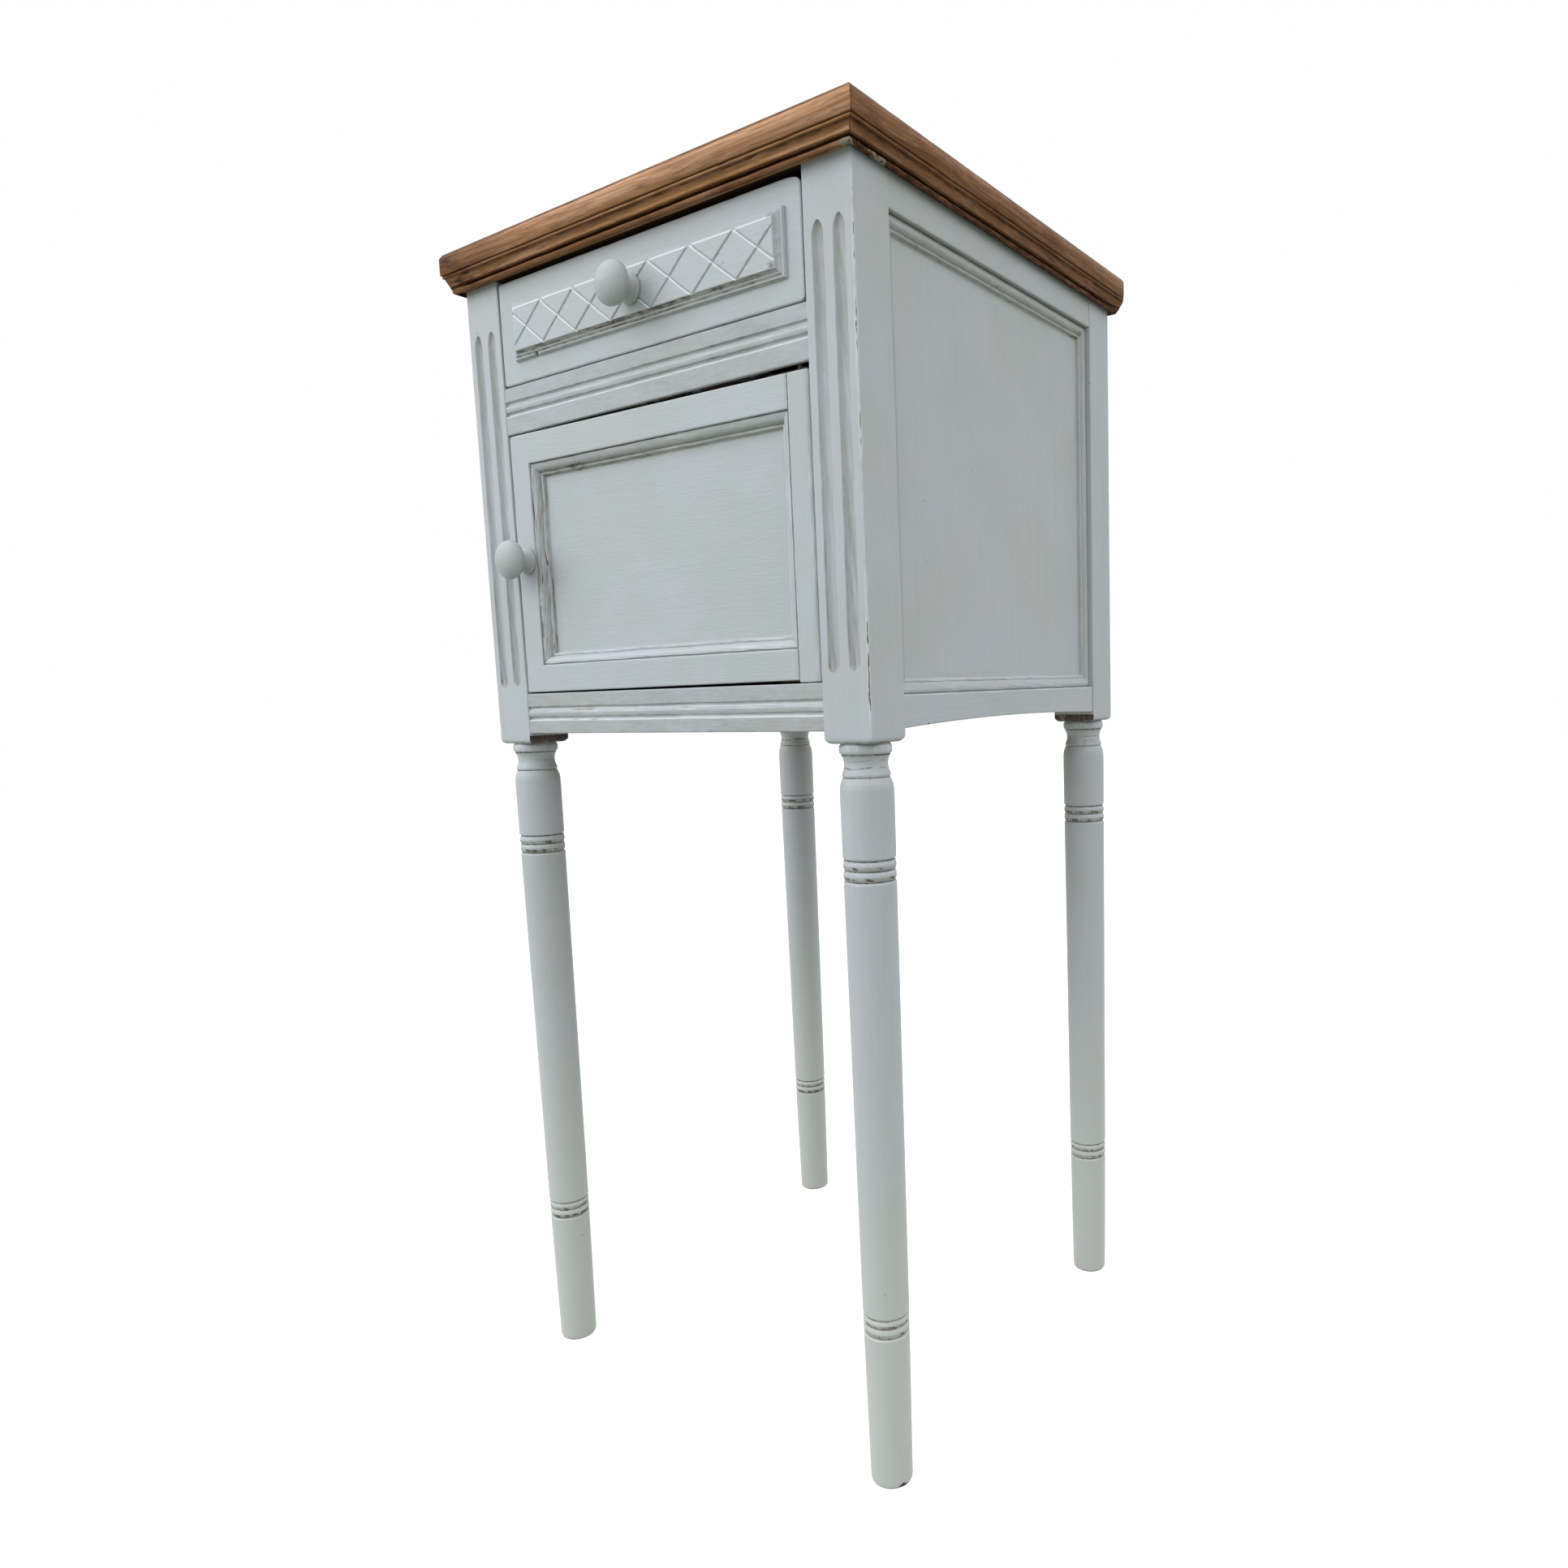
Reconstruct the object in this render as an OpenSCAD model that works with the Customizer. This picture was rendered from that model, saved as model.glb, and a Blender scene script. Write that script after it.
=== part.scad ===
// Bedside cabinet on four tall turned legs: a drawer over a cupboard door,
// painted frame and panels, and an oak top with a moulded edge.
// X runs to the right, Y to the back and Z up, in millimetres. Z = 0 is the floor.
// The origin lies under the middle of the outer box. Inside place() the cabinet's
// own frame is used: X = 0 in the middle and Y = 0 at the front of the posts.

/* [Cabinet] */
// Width over the posts
body_w = 346; // [310:1:420]
// Depth over the posts
body_d = 342; // [310:1:420]
// Side of the square posts
post_w = 35; // [33:0.5:45]
// Length of the turned legs, from the floor to the square posts
leg_h = 480; // [300:1:560]
// How far the rails, door and drawer front sit behind the face of the posts
face_set = 0.5; // [0.3:0.1:1.5]
// Thickness of the front and side rails
rail_t = 20; // [18:0.5:24]
// Height of the post ends that hang below the rails
rail_drop = 7.5; // [4:0.5:20]

/* [Front] */
// Height of the rail under the door
bottom_rail_h = 29; // [26:0.5:45]
// Height of the door opening
door_open_h = 183; // [165:1:320]
// Height of the rail between door and drawer
mid_rail_h = 32; // [26:0.5:45]
// Height of the drawer opening
drawer_open_h = 72.5; // [68:0.5:110]
// Drop from the top edge of a front rail to its upper groove
reed_first = 11.3; // [8:0.1:12]
// Distance between the two grooves of a front rail
reed_pitch = 7.1; // [5:0.1:10]
// Radius of the grooves of the front rails
reed_r = 1.7; // [1:0.1:2.2]
// Depth of the thin rail over the drawer, from front to back
top_rail_d = 40; // [30:1:60]

/* [Flutes] */
// Width of a flute in the front posts
flute_w = 8.5; // [5:0.5:10]
// Depth of a flute
flute_d = 2.5; // [1:0.1:3.5]
// Distance between the two flutes of a post
flute_pitch = 15; // [12:0.5:18]
// Height of the lower flute ends over the bottom of the posts
flute_foot = 42; // [20:1:80]
// Distance of the upper flute ends below the top moulding
flute_head = 32; // [20:1:80]

/* [Turned legs] */
// Radius of the leg at the floor
foot_r = 13.7; // [11:0.1:15]
// Rounding of the foot's lower edge
foot_round = 2.2; // [1:0.1:4]
// Radius of the leg at the lower ring grooves
low_r = 14.9; // [13:0.1:15.8]
// Radius of the leg at its thickest, under the neck
column_r = 16.5; // [15.5:0.1:17]
// Height of the middle of the three lower ring grooves
low_ring_z = 110.5; // [60:0.5:160]
// Distance of the three upper ring grooves below the posts
high_ring_drop = 76.7; // [60:0.5:120]
// Distance between neighbouring ring grooves
ring_pitch = 6.2; // [4:0.1:8]
// Depth of a ring groove
ring_d = 1.1; // [0.5:0.1:1.8]
// Radius of the neck
neck_r = 13.2; // [10:0.1:14]
// Height of the half round collar under the post
collar_h = 6.6; // [4:0.2:9]
// Radius of the collar
collar_r = 15.9; // [15:0.1:17]
// Distance from the post down to the shoulder of the column
shoulder_drop = 22.6; // [18:0.5:30]

/* [Sides and back] */
// Height of the side rails that shows
side_rail_h = 20.3; // [18:0.1:40]
// Rise of the arched lower edge of the side bottom rails
arch_rise = 3; // [1:0.5:5]
// Thickness of the side panels
side_panel_t = 6; // [4:0.5:8]
// Depth of the side panels behind the rail faces
side_recess = 7; // [5:0.1:8]
// How far the mouldings of the side panels stand back from the rail faces
side_mould_back = 2; // [1:0.1:3]
// Width of the moulding round a side panel
side_mould_w = 10; // [7:0.5:14]
// Depth of the grooves that hold the side panels
side_groove = 6; // [4:0.5:8]
// Thickness of the back rails
back_rail_t = 15; // [12:0.5:20]
// Height of the back top rail
back_rail_h = 100; // [98:1:120]
// Thickness of the back panel
back_panel_t = 5; // [3:0.5:8]
// Width of the rebate for the back panel in the posts
back_rebate = 10; // [7:0.5:12]

/* [Top] */
// Overhang of the oak top over the posts, at the sides and the back
top_overhang = 12; // [11.5:0.5:20]
// How much further the top and its moulding reach at the front
top_front = 2.5; // [0:0.5:8]
// Thickness of the oak top
top_t = 15; // [14:0.5:25]
// Width of the mitred oak edge round the top panel, inside the posts' faces
lip_in = 26; // [20:1:45]
// Height of the rounded nose of the edge
nose_h = 12; // [9:0.1:12.4]
// Bulge of the nose
nose_bulge = 2; // [1:0.1:3]
// Height of the moulding under the top
bed_h = 10; // [9:0.5:14]
// Projection of the moulding under the top
bed_out = 9.6; // [7:0.1:10]

/* [Drawer] */
// Gap beside the drawer front
drawer_gap_side = 1; // [0.5:0.1:2]
// Gap under the drawer front
drawer_gap_low = 0.8; // [0.5:0.1:1.5]
// Gap over the drawer front
drawer_gap_high = 4; // [1:0.1:5]
// Thickness of the drawer front
drawer_front_t = 18; // [16:0.5:22]
// Thickness of the drawer sides and back
drawer_side_t = 9; // [8:0.5:12]
// Distance of the drawer sides' upper edge below the drawer front's
drawer_side_drop = 9; // [6:0.5:14]
// Thickness of the drawer bottom
drawer_floor_t = 4; // [3:0.5:6]
// Height of the drawer bottom over the lower edge of the sides
drawer_floor_z = 8; // [6:0.5:12]
// Depth of the grooves that hold the drawer bottom
drawer_groove = 4; // [2:0.5:5]

/* [Plaque] */
// Width of the plain margin at the plaque's ends
plaque_end = 14; // [4:0.5:30]
// Height of the plain margin over and under the plaque
plaque_side = 14.3; // [8:0.1:17]
// How far the plaque and its knob sit to the right of the drawer's middle
plaque_off = 2.2; // [-3:0.1:3]
// Thickness of the plaque
plaque_t = 5.9; // [4.5:0.1:8]
// Width of the moulded edge
plaque_edge = 5.6; // [4:0.1:8]
// Distance between the diamond crosses
cross_pitch = 35.1; // [26:0.1:48]
// Depth of the V grooves
cross_d = 0.9; // [0.4:0.1:1.5]

/* [Door] */
// Thickness of the door
door_t = 18; // [17:0.5:18]
// Gap on the knob side of the door
door_gap_knob = 1; // [0.5:0.1:2]
// Gap on the hinge side of the door
door_gap_hinge = 1.2; // [1:0.1:2]
// Gap under the door
door_gap_low = 1.2; // [1.1:0.1:2]
// Gap over the door
door_gap_high = 2.5; // [1:0.1:4]
// Width of the stile on the knob side
knob_stile_w = 19.5; // [18:0.5:40]
// Width of the stile on the hinge side
hinge_stile_w = 16; // [15:0.5:40]
// Height of the door's top rail
door_top_h = 20.5; // [18:0.5:40]
// Height of the door's bottom rail
door_low_h = 19; // [18:0.5:40]
// Thickness of the door panel and of the tenons in line with it
door_panel_t = 6; // [5:0.5:8]
// Depth of the door panel behind the door's face
door_recess = 7; // [5:0.1:8]
// Width of the moulding round the door panel
door_mould_w = 9; // [6:0.5:13]
// Depth of the grooves that hold the door panel
door_groove = 5; // [3:0.5:6]
// Rounding of the door's front edge on the hinge side
door_round = 3; // [2:0.5:4]

/* [Knobs] */
// Radius of a knob's head
knob_r = 13.5; // [10:0.5:17]
// Length of a knob in front of its seat
knob_l = 22.5; // [20:0.5:30]
// Radius of a knob's foot
knob_foot_r = 9; // [7:0.5:11]
// Radius of a knob's waist
knob_waist_r = 5.6; // [4.5:0.1:8]
// Distance of the door knob from the edge of the door
door_knob_in = 11; // [9.5:0.5:20]
// Height of the door knob over the middle of the door
door_knob_up = 3.5; // [-30:0.5:30]
// Radius of the screws that hold the knobs
knob_screw_r = 2; // [1.5:0.1:2.5]

/* [Pivots and catch] */
// Radius of the pivot pins
pin_r = 2.5; // [2:0.1:3]
// Distance of the pivot behind the door's face
pin_back = 6; // [5.5:0.1:7]
// Distance of the pivot from the door's hinge edge
pin_in = 9; // [8.5:0.1:11]
// Running clearance round a pin
pin_fit = 0.05; // [0.02:0.01:0.1]
// Length of a pivot plate
plate_l = 30; // [26:1:40]
// Width of a pivot plate
plate_w = 13; // [12:0.5:14]
// Thickness of a pivot plate
plate_t = 2; // [1.5:0.1:3]
// Height of the catch case
catch_h = 42; // [38:1:60]
// Width of the catch case
catch_w = 12; // [10:0.5:16]
// Depth of the catch case
catch_d = 13; // [10:0.5:13.5]
// Thickness of the strike plate
strike_t = 1; // [0.8:0.1:1.5]

/* [Joinery] */
// Length of the tenons of the cabinet's front and side rails
tenon_l = 14; // [10:0.5:15]
// Thickness of those tenons
tenon_t = 8; // [6:0.5:8]
// Length of the tenons of the door rails and back rails
small_tenon_l = 10; // [8:0.5:11]
// Shoulder over and under a tenon
shoulder = 2.5; // [1:0.5:3]
// Clearance of tenons in mortises and of panels in grooves
joint_gap = 0.1; // [0.05:0.05:0.3]
// Gap between pieces that slide or swing past each other
slide_gap = 0.3; // [0.2:0.1:0.5]

/* [Hidden] */

// Smoothness of round shapes
$fn = 64;
// Colours
paint = [0.70, 0.74, 0.73];
oak = [0.55, 0.38, 0.24];
bare_wood = [0.66, 0.52, 0.36];
ply = [0.62, 0.47, 0.31];
steel = [0.60, 0.60, 0.58];
brass = [0.72, 0.58, 0.32];
magnet_grey = [0.25, 0.25, 0.26];

// Overlap that makes a cut pass right through a face
cut = 1;
// Gap at a mitre between two strips
mitre_gap = 0.1;

// Heights
rail_z = leg_h + rail_drop;
door_z = rail_z + bottom_rail_h;
mid_z = door_z + door_open_h;
drawer_z = mid_z + mid_rail_h;
bed_z = drawer_z + drawer_open_h;
body_top = bed_z + bed_h;
side_low_top = rail_z + side_rail_h;
side_high_low = bed_z - side_rail_h;

// Places across the cabinet
half_w = body_w / 2;
open_x = half_w - post_w;
rail_out = half_w - face_set;
rail_in = rail_out - rail_t;
panel_out = rail_out - side_recess;
panel_in = panel_out - side_panel_t;

// Places from front to back
rail_back = face_set + rail_t;
back_face = body_d - back_panel_t;
back_rail_y = back_face - back_rail_t;
side_len = body_d - 2 * post_w;

// Drawer
drawer_x = open_x - drawer_gap_side;
drawer_low = drawer_z + drawer_gap_low;
drawer_high = bed_z - drawer_gap_high;
drawer_run_z = drawer_z + slide_gap;
drawer_side_high = drawer_high - drawer_side_drop;
stop_t = 5;
stop_h = 22;
drawer_end = back_rail_y - stop_t - slide_gap;
drawer_face_y = face_set;
drawer_back_y = face_set + drawer_front_t;
lap_t = 10;
tail_count = 2;
tail_w = 14;
tail_flare = 2.5;
kicker_z = drawer_side_high + 2;
plaque_z = (drawer_low + drawer_high) / 2;
plaque_w = 2 * (drawer_x - plaque_end);
plaque_h = drawer_high - drawer_low - 2 * plaque_side;
field_w = plaque_w - 2 * plaque_edge;
field_h = plaque_h - 2 * plaque_edge;
cross_count = max(1, round(field_w / cross_pitch));

// Door
door_left = -open_x + door_gap_knob;
door_right = open_x - door_gap_hinge;
door_low = door_z + door_gap_low;
door_high = mid_z - door_gap_high;
door_back = face_set + door_t;
panel_y = face_set + door_recess;
knob_x = door_left + door_knob_in;
knob_z = (door_low + door_high) / 2 + door_knob_up;
pin_x = door_right - pin_in;
pin_y = face_set + pin_back;
plate_right = door_right - 2;
plate_mid_y = face_set + door_t / 2;
pin_depth = 3;

// Catch behind the door, on the post beside the knob
catch_y = door_back + strike_t + slide_gap;
catch_z = door_high - 46;
magnet_w = 8;
magnet_h = 20;
magnet_d = 6;
strike_w = 8;
strike_h = 26;
strike_screw_off = 9;
catch_screw_off = catch_h / 2 - 5;

// Runners
bearing_w = 20;
bearing_h = 12;
guide_h = 12;

// Countersunk wood screw for plates and catch, which ends short of the door's panel
screw_r = 1.5;
screw_head_r = 3;
screw_l = min(door_low_h, door_top_h) - door_groove - 1;
// Screw that holds the top
top_screw_r = 2;
top_screw_head_r = 4;
top_screw_sink = 2;
top_screw_bite = 10;
top_screw_l = body_top - kicker_z - top_screw_sink + top_screw_bite;
// Nail of the back panel
nail_r = 0.8;
nail_head_r = 1.8;
nail_head_t = 0.8;
nail_l = 14;
nail_drop = 12;
nails_up = 5;
nails_across = 3;

// Middle of the outer box from front to back
front_reach = plaque_t + knob_l - face_set;
y_mid = (body_d + top_overhang - front_reach) / 2;

// Points of an arc round [x, y], from angle a to angle b in n steps
function arc(x, y, r, a, b, n) =
    [for (i = [0:n]) let (t = a + (b - a) * i / n) [x + r * cos(t), y + r * sin(t)]];

// Radius of an arc from its chord and its rise
function bow_r(chord, rise) = (chord * chord / 4 + rise * rise) / (2 * rise);

module place() {
    translate([0, -y_mid, 0]) children();
}

// Flat shape with its first axis along Y and its second along Z, carried along X
module along_x(len) {
    translate([-len / 2, 0, 0]) rotate([90, 0, 90]) linear_extrude(len) children();
}

// Box from its low corner to its high corner
module block(low, high) {
    translate(low) cube(high - low);
}

// Countersunk wood screw: head flush with Z = 0 and the shank down; grow widens it
module wood_screw(r, head_r, len, grow = 0) {
    cone = head_r - r;
    translate([0, 0, -cone]) cylinder(h = cone, r1 = r + grow, r2 = head_r + grow);
    translate([0, 0, -len + r]) cylinder(h = len - r - cone + 0.01, r = r + grow);
    translate([0, 0, -len]) cylinder(h = r, r1 = 0.3 + grow, r2 = r + grow);
}

// The same screw with its driver slot
module slotted_screw(r, head_r, len) {
    difference() {
        wood_screw(r, head_r, len);
        translate([0, 0, -0.4]) cube([2 * head_r + cut, head_r / 4, 0.8 + 0.01], center = true);
    }
}

// Section of the rounded oak edge: first axis outwards from the posts, second up
function nose_points() =
    let (r = bow_r(nose_h, nose_bulge), a = asin(nose_h / 2 / r))
    concat([[-lip_in, 0]],
        arc(top_overhang - r, nose_h / 2 + 0.3, r, -a, a, 12),
        [[top_overhang - nose_bulge - 0.4, nose_h + 0.7],
         [top_overhang - nose_bulge - 2, top_t],
         [-lip_in, top_t]]);

// Section of the moulding under the top: two fillets with an ovolo between them.
// The section reaches back by depth behind the face of the posts' line
function bed_points(depth) =
    let (low = bed_out - 5.6, high = bed_h - 2.3)
    concat([[-depth, 0], [low, 0], [low, 1.7], [low - 1.2, 2.2], [low - 1.2, 2.6],
            [low + 0.6, 3]],
        [for (i = [0:6]) let (t = 15 * i)
            [low + 0.6 + 4 * sin(t), high - (high - 3.3) * cos(t)]],
        [[bed_out - 2, high], [bed_out - 2, high + 0.3], [bed_out, high + 0.5],
         [bed_out, bed_h - 0.5], [bed_out - 1.8, bed_h - 0.3], [bed_out - 1.8, bed_h],
         [-depth, bed_h]]);

// Section of a panel moulding: first axis depth behind the frame, second inwards
function mould_points(w, d) =
    concat([[d, 0], [1, 0], [1, 0.7]],
        [for (i = [0:6]) let (t = 15 * i)
            [d - 2 - (d - 2.9) * cos(t), 0.7 + (w - 3.3) * sin(t)]],
        [[d - 1.4, w - 2.5], [d - 1.4, w - 2.1], [d - 2.1, w - 1.9],
         [d - 2.1, w - 0.2], [d - 1.9, w], [d, w]]);

// Section of the plaque's edge: first axis behind the carved face, second inwards
function plaque_points(w, d) =
    concat([[d, 0], [d - 1.4, 0], [d - 1.6, 0.2], [d - 1.6, 1.2]],
        [for (i = [0:6]) let (t = 15 * i)
            [0.9 + (d - 3) * (1 - sin(t)), 1.6 + (w - 2.6) * (1 - cos(t))]],
        [[0.4, w - 0.8], [0, w - 0.4], [0, w + 1], [d, w + 1]]);

// Strip along X with 45 degree ends that rises from Z = 0, its face towards -Y
module mitred_strip(len, w, d, points, gap) {
    intersection() {
        along_x(len) polygon(points);
        translate([0, d + cut, 0]) rotate([90, 0, 0]) linear_extrude(d + 2 * cut)
            polygon([[gap - len / 2, 0], [len / 2 - gap, 0],
                [len / 2 - w - gap, w], [w + gap - len / 2, w]]);
    }
}

// Four mitred strips round a panel, centred on the origin in the XZ plane
module mitred_frame(w, h, strip_w, strip_d, points, gap) {
    for (a = [0, 90, 180, 270]) {
        flat = a % 180 == 0;
        rotate([0, a, 0]) translate([0, 0, -(flat ? h : w) / 2])
            mitred_strip(flat ? w : h, strip_w, strip_d, points, gap);
    }
}

// Corner of the top's rectangle, at o outside the lines of the mouldings' backs
function top_corner(right, back, o) =
    [right * (half_w + o), back > 0 ? body_d + o : -o - top_front];

// One of the four mitred runs round the top. a turns it from the front, reach and inside
// are its width outside and inside the line of its section's zero
module top_run(a, z, h, reach, inside, points) {
    flat = a % 180 == 0;
    dist = a == 0 ? body_d / 2 + top_front : flat ? body_d / 2 : half_w;
    first = a == 0 ? [-1, -1] : a == 90 ? [1, -1] : a == 180 ? [1, 1] : [-1, 1];
    last = a == 0 ? [1, -1] : a == 90 ? [1, 1] : a == 180 ? [-1, 1] : [-1, -1];
    gap = mitre_gap / 2 * [last[0] - first[0], last[1] - first[1]] / 2;
    place() intersection() {
        translate([0, body_d / 2, z]) rotate([0, 0, a]) translate([0, -dist, 0])
            along_x(2 * (body_w + body_d)) polygon([for (p = points) [-p[0], p[1]]]);
        translate([0, 0, z - cut]) linear_extrude(h + 2 * cut) polygon([
            top_corner(first[0], first[1], -inside) + gap, top_corner(last[0], last[1], -inside) - gap,
            top_corner(last[0], last[1], reach) - gap, top_corner(first[0], first[1], reach) + gap]);
    }
}

// Tongue round the top panel; play widens it to the groove in the oak edge
tongue_t = 5;
tongue_l = 6;
module tongue(play) {
    low = top_corner(-1, -1, tongue_l + play - lip_in);
    high = top_corner(1, 1, tongue_l + play - lip_in);
    mid = body_top + top_t / 2;
    block([low[0], low[1], mid - tongue_t / 2 - play], [high[0], high[1], mid + tongue_t / 2 + play]);
}

module top_edge(a) {
    color(oak) difference() {
        top_run(a, body_top, top_t, top_overhang, lip_in, nose_points());
        place() tongue(joint_gap);
    }
}

module top_panel() {
    low = top_corner(-1, -1, -lip_in);
    high = top_corner(1, 1, -lip_in);
    color(oak) place() difference() {
        union() {
            block([low[0], low[1], body_top], [high[0], high[1], body_top + top_t]);
            tongue(0);
        }
        top_screw_cuts();
    }
}

module bed_moulding(a) {
    depth = a == 0 ? top_front : 0;
    color(oak) top_run(a, bed_z, bed_h, bed_out, depth, bed_points(depth));
}

// Turned leg below the post, as one half of its outline
function ring_notch(r, z) = [[r, z - ring_d], [r - ring_d, z], [r, z + ring_d]];
high_ring_z = leg_h - high_ring_drop;
column_top = leg_h - shoulder_drop;
neck_low = column_top + 3.2;
neck_high = leg_h - collar_h - 0.8;
function leg_r(z) =
    z < low_ring_z ? foot_r + (low_r - foot_r) * z / low_ring_z
    : low_r + (column_r - low_r) * (z - low_ring_z) / (column_top - low_ring_z);
function ring_points(mid) =
    [for (i = [-1, 0, 1]) each ring_notch(leg_r(mid + i * ring_pitch), mid + i * ring_pitch)];
function leg_points() =
    let (collar_cr = collar_h / 2, depth = collar_r - 1.5 - neck_r,
        cove_r = bow_r(neck_high - neck_low, depth),
        cove_a = asin((neck_high - neck_low) / 2 / cove_r))
    concat([[0, 0]],
        arc(foot_r - foot_round, foot_round, foot_round, -90, 0, 5),
        ring_points(low_ring_z), ring_points(high_ring_z),
        arc(column_r - 3, column_top - 3, 3, 0, 70, 5),
        [[collar_r - 0.9, column_top], [collar_r - 0.9, neck_low - 0.6],
         [collar_r - 1.5, neck_low - 0.4]],
        [for (i = [0:8]) let (t = cove_a * (i / 4 - 1))
            [neck_r + cove_r - cove_r * cos(t), (neck_low + neck_high) / 2 + cove_r * sin(t)]],
        [[collar_r - 1.5, leg_h - collar_h - 0.2]],
        arc(collar_r - collar_cr, leg_h - collar_cr, collar_cr, -90, 90, 8),
        [[0, leg_h]]);

// Square post on its turned leg, on the right-hand side; low_y is its front face
module post_and_leg(low_y) {
    block([open_x, low_y, leg_h - 0.01], [half_w, low_y + post_w, body_top]);
    translate([half_w - post_w / 2, low_y + post_w / 2, 0]) rotate_extrude() polygon(leg_points());
}

// Stopped flute with round ends, cut into the face Y = 0
module flute(x) {
    r = bow_r(flute_w, flute_d);
    low = leg_h + flute_foot + flute_w / 2;
    high = bed_z - flute_head - flute_w / 2;
    translate([x, flute_d - r, low]) cylinder(h = high - low, r = r);
    for (z = [low, high]) translate([x, flute_d - r, z]) sphere(r = r);
}

// Cuts for the side rails' tenons and the side panel in a post of the right side
module side_cuts(y_face, dir) {
    for (span = [[rail_z + shoulder, side_low_top - side_groove - shoulder],
                 [side_high_low + side_groove + shoulder, body_top - shoulder]])
        side_slot(y_face, dir, tenon_l + joint_gap, rail_out - rail_t / 2 - tenon_t / 2 - joint_gap,
            rail_out - rail_t / 2 + tenon_t / 2 + joint_gap, span[0] - joint_gap, span[1] + joint_gap);
    side_slot(y_face, dir, side_groove, panel_in - joint_gap, panel_out + joint_gap,
        side_low_top - side_groove, side_high_low + side_groove);
}

module side_slot(y_face, dir, depth, x_low, x_high, z_low, z_high) {
    y_far = y_face - dir * depth;
    y_near = y_face + dir * cut;
    block([x_low, min(y_far, y_near), z_low], [x_high, max(y_far, y_near), z_high]);
}

// Cut for a tenon of a rail that runs along X, in the right-hand post
module front_mortise(y_mid_tenon, t, len, z_low, z_high) {
    block([open_x - cut, y_mid_tenon - t / 2 - joint_gap, z_low - joint_gap],
        [open_x + len + joint_gap, y_mid_tenon + t / 2 + joint_gap, z_high + joint_gap]);
}

front_tenon_y = face_set + rail_t / 2;
back_tenon_y = back_rail_y + back_rail_t / 2;

module front_post() {
    difference() {
        post_and_leg(0);
        for (s = [-1, 1]) flute(half_w - post_w / 2 + s * flute_pitch / 2);
        front_mortise(front_tenon_y, tenon_t, tenon_l, rail_z + shoulder, door_z - shoulder);
        front_mortise(front_tenon_y, tenon_t, tenon_l, mid_z + shoulder, drawer_z - shoulder);
        front_mortise(front_tenon_y, tenon_t, tenon_l, bed_z + shoulder, body_top - shoulder);
        side_cuts(post_w, 1);
    }
}

module back_post() {
    low_y = body_d - post_w;
    difference() {
        post_and_leg(low_y);
        front_mortise(back_tenon_y, door_panel_t, small_tenon_l, rail_z + shoulder,
            side_low_top - shoulder);
        front_mortise(back_tenon_y, door_panel_t, small_tenon_l, body_top - back_rail_h + shoulder,
            body_top - shoulder);
        side_cuts(low_y, -1);
        block([open_x - cut, back_face, rail_z - joint_gap],
            [open_x + back_rebate, body_d + cut, body_top + cut]);
        nail_cuts();
    }
}

module leg_front_right() {
    color(paint) place() difference() {
        front_post();
    }
}
module leg_front_left() {
    color(paint) place() difference() {
        mirror([1, 0, 0]) front_post();
        catch_screw_cuts();
    }
}
module leg_back_right() { color(paint) place() back_post(); }
module leg_back_left() { color(paint) place() mirror([1, 0, 0]) back_post(); }

// Rail along X between the posts with a tenon at each end
module cross_rail(y_low, y_high, z_low, z_high, t, len) {
    y_tenon = (y_low + y_high) / 2;
    block([-open_x, y_low, z_low], [open_x, y_high, z_high]);
    block([-open_x - len, y_tenon - t / 2, z_low + shoulder],
        [open_x + len, y_tenon + t / 2, z_high - shoulder]);
}

// Two round grooves along the face of a front rail whose top edge is at z_high
module reeds(z_high) {
    for (z = [z_high - reed_first, z_high - reed_first - reed_pitch])
        translate([-open_x - cut, face_set, z]) rotate([0, 90, 0])
            cylinder(h = 2 * (open_x + cut), r = reed_r);
}

module front_top_rail() {
    color(paint) place() union() {
        block([-open_x, face_set, bed_z], [open_x, post_w, body_top]);
        block([-open_x - tenon_l, front_tenon_y - tenon_t / 2, bed_z + shoulder],
            [open_x + tenon_l, front_tenon_y + tenon_t / 2, body_top - shoulder]);
        block([-open_x + bearing_w + joint_gap, face_set, bed_z],
            [open_x - bearing_w - joint_gap, top_rail_d, body_top]);
    }
}

module drawer_rail() {
    color(paint) place() difference() {
        cross_rail(face_set, rail_back, mid_z, drawer_z, tenon_t, tenon_l);
        reeds(drawer_z);
        translate([0, 0, mid_z]) mirror([0, 0, 1]) socket_cuts();
    }
}

module bottom_rail() {
    color(paint) place() difference() {
        cross_rail(face_set, rail_back, rail_z, door_z, tenon_t, tenon_l);
        reeds(door_z);
        translate([0, 0, door_z]) socket_cuts();
    }
}

module back_top_rail() {
    color(bare_wood) place() difference() {
        cross_rail(back_rail_y, back_face, body_top - back_rail_h, body_top, door_panel_t,
            small_tenon_l);
        nail_cuts();
    }
}

module back_bottom_rail() {
    color(bare_wood) place() difference() {
        cross_rail(back_rail_y, back_face, rail_z, side_low_top, door_panel_t, small_tenon_l);
        nail_cuts();
    }
}

// Rail of the right side, between front and back post
module side_rail(z_low, z_high, groove_z) {
    x_mid = rail_out - rail_t / 2;
    tenon_low = groove_z > z_low + cut ? z_low + shoulder : z_low + side_groove + shoulder;
    tenon_high = groove_z > z_low + cut ? z_high - side_groove - shoulder : z_high - shoulder;
    difference() {
        union() {
            block([rail_in, post_w, z_low], [rail_out, body_d - post_w, z_high]);
            block([x_mid - tenon_t / 2, post_w - tenon_l, tenon_low],
                [x_mid + tenon_t / 2, body_d - post_w + tenon_l, tenon_high]);
        }
        block([panel_in - joint_gap, post_w - cut, groove_z - side_groove],
            [panel_out + joint_gap, body_d - post_w + cut, groove_z + side_groove]);
    }
}

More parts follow.
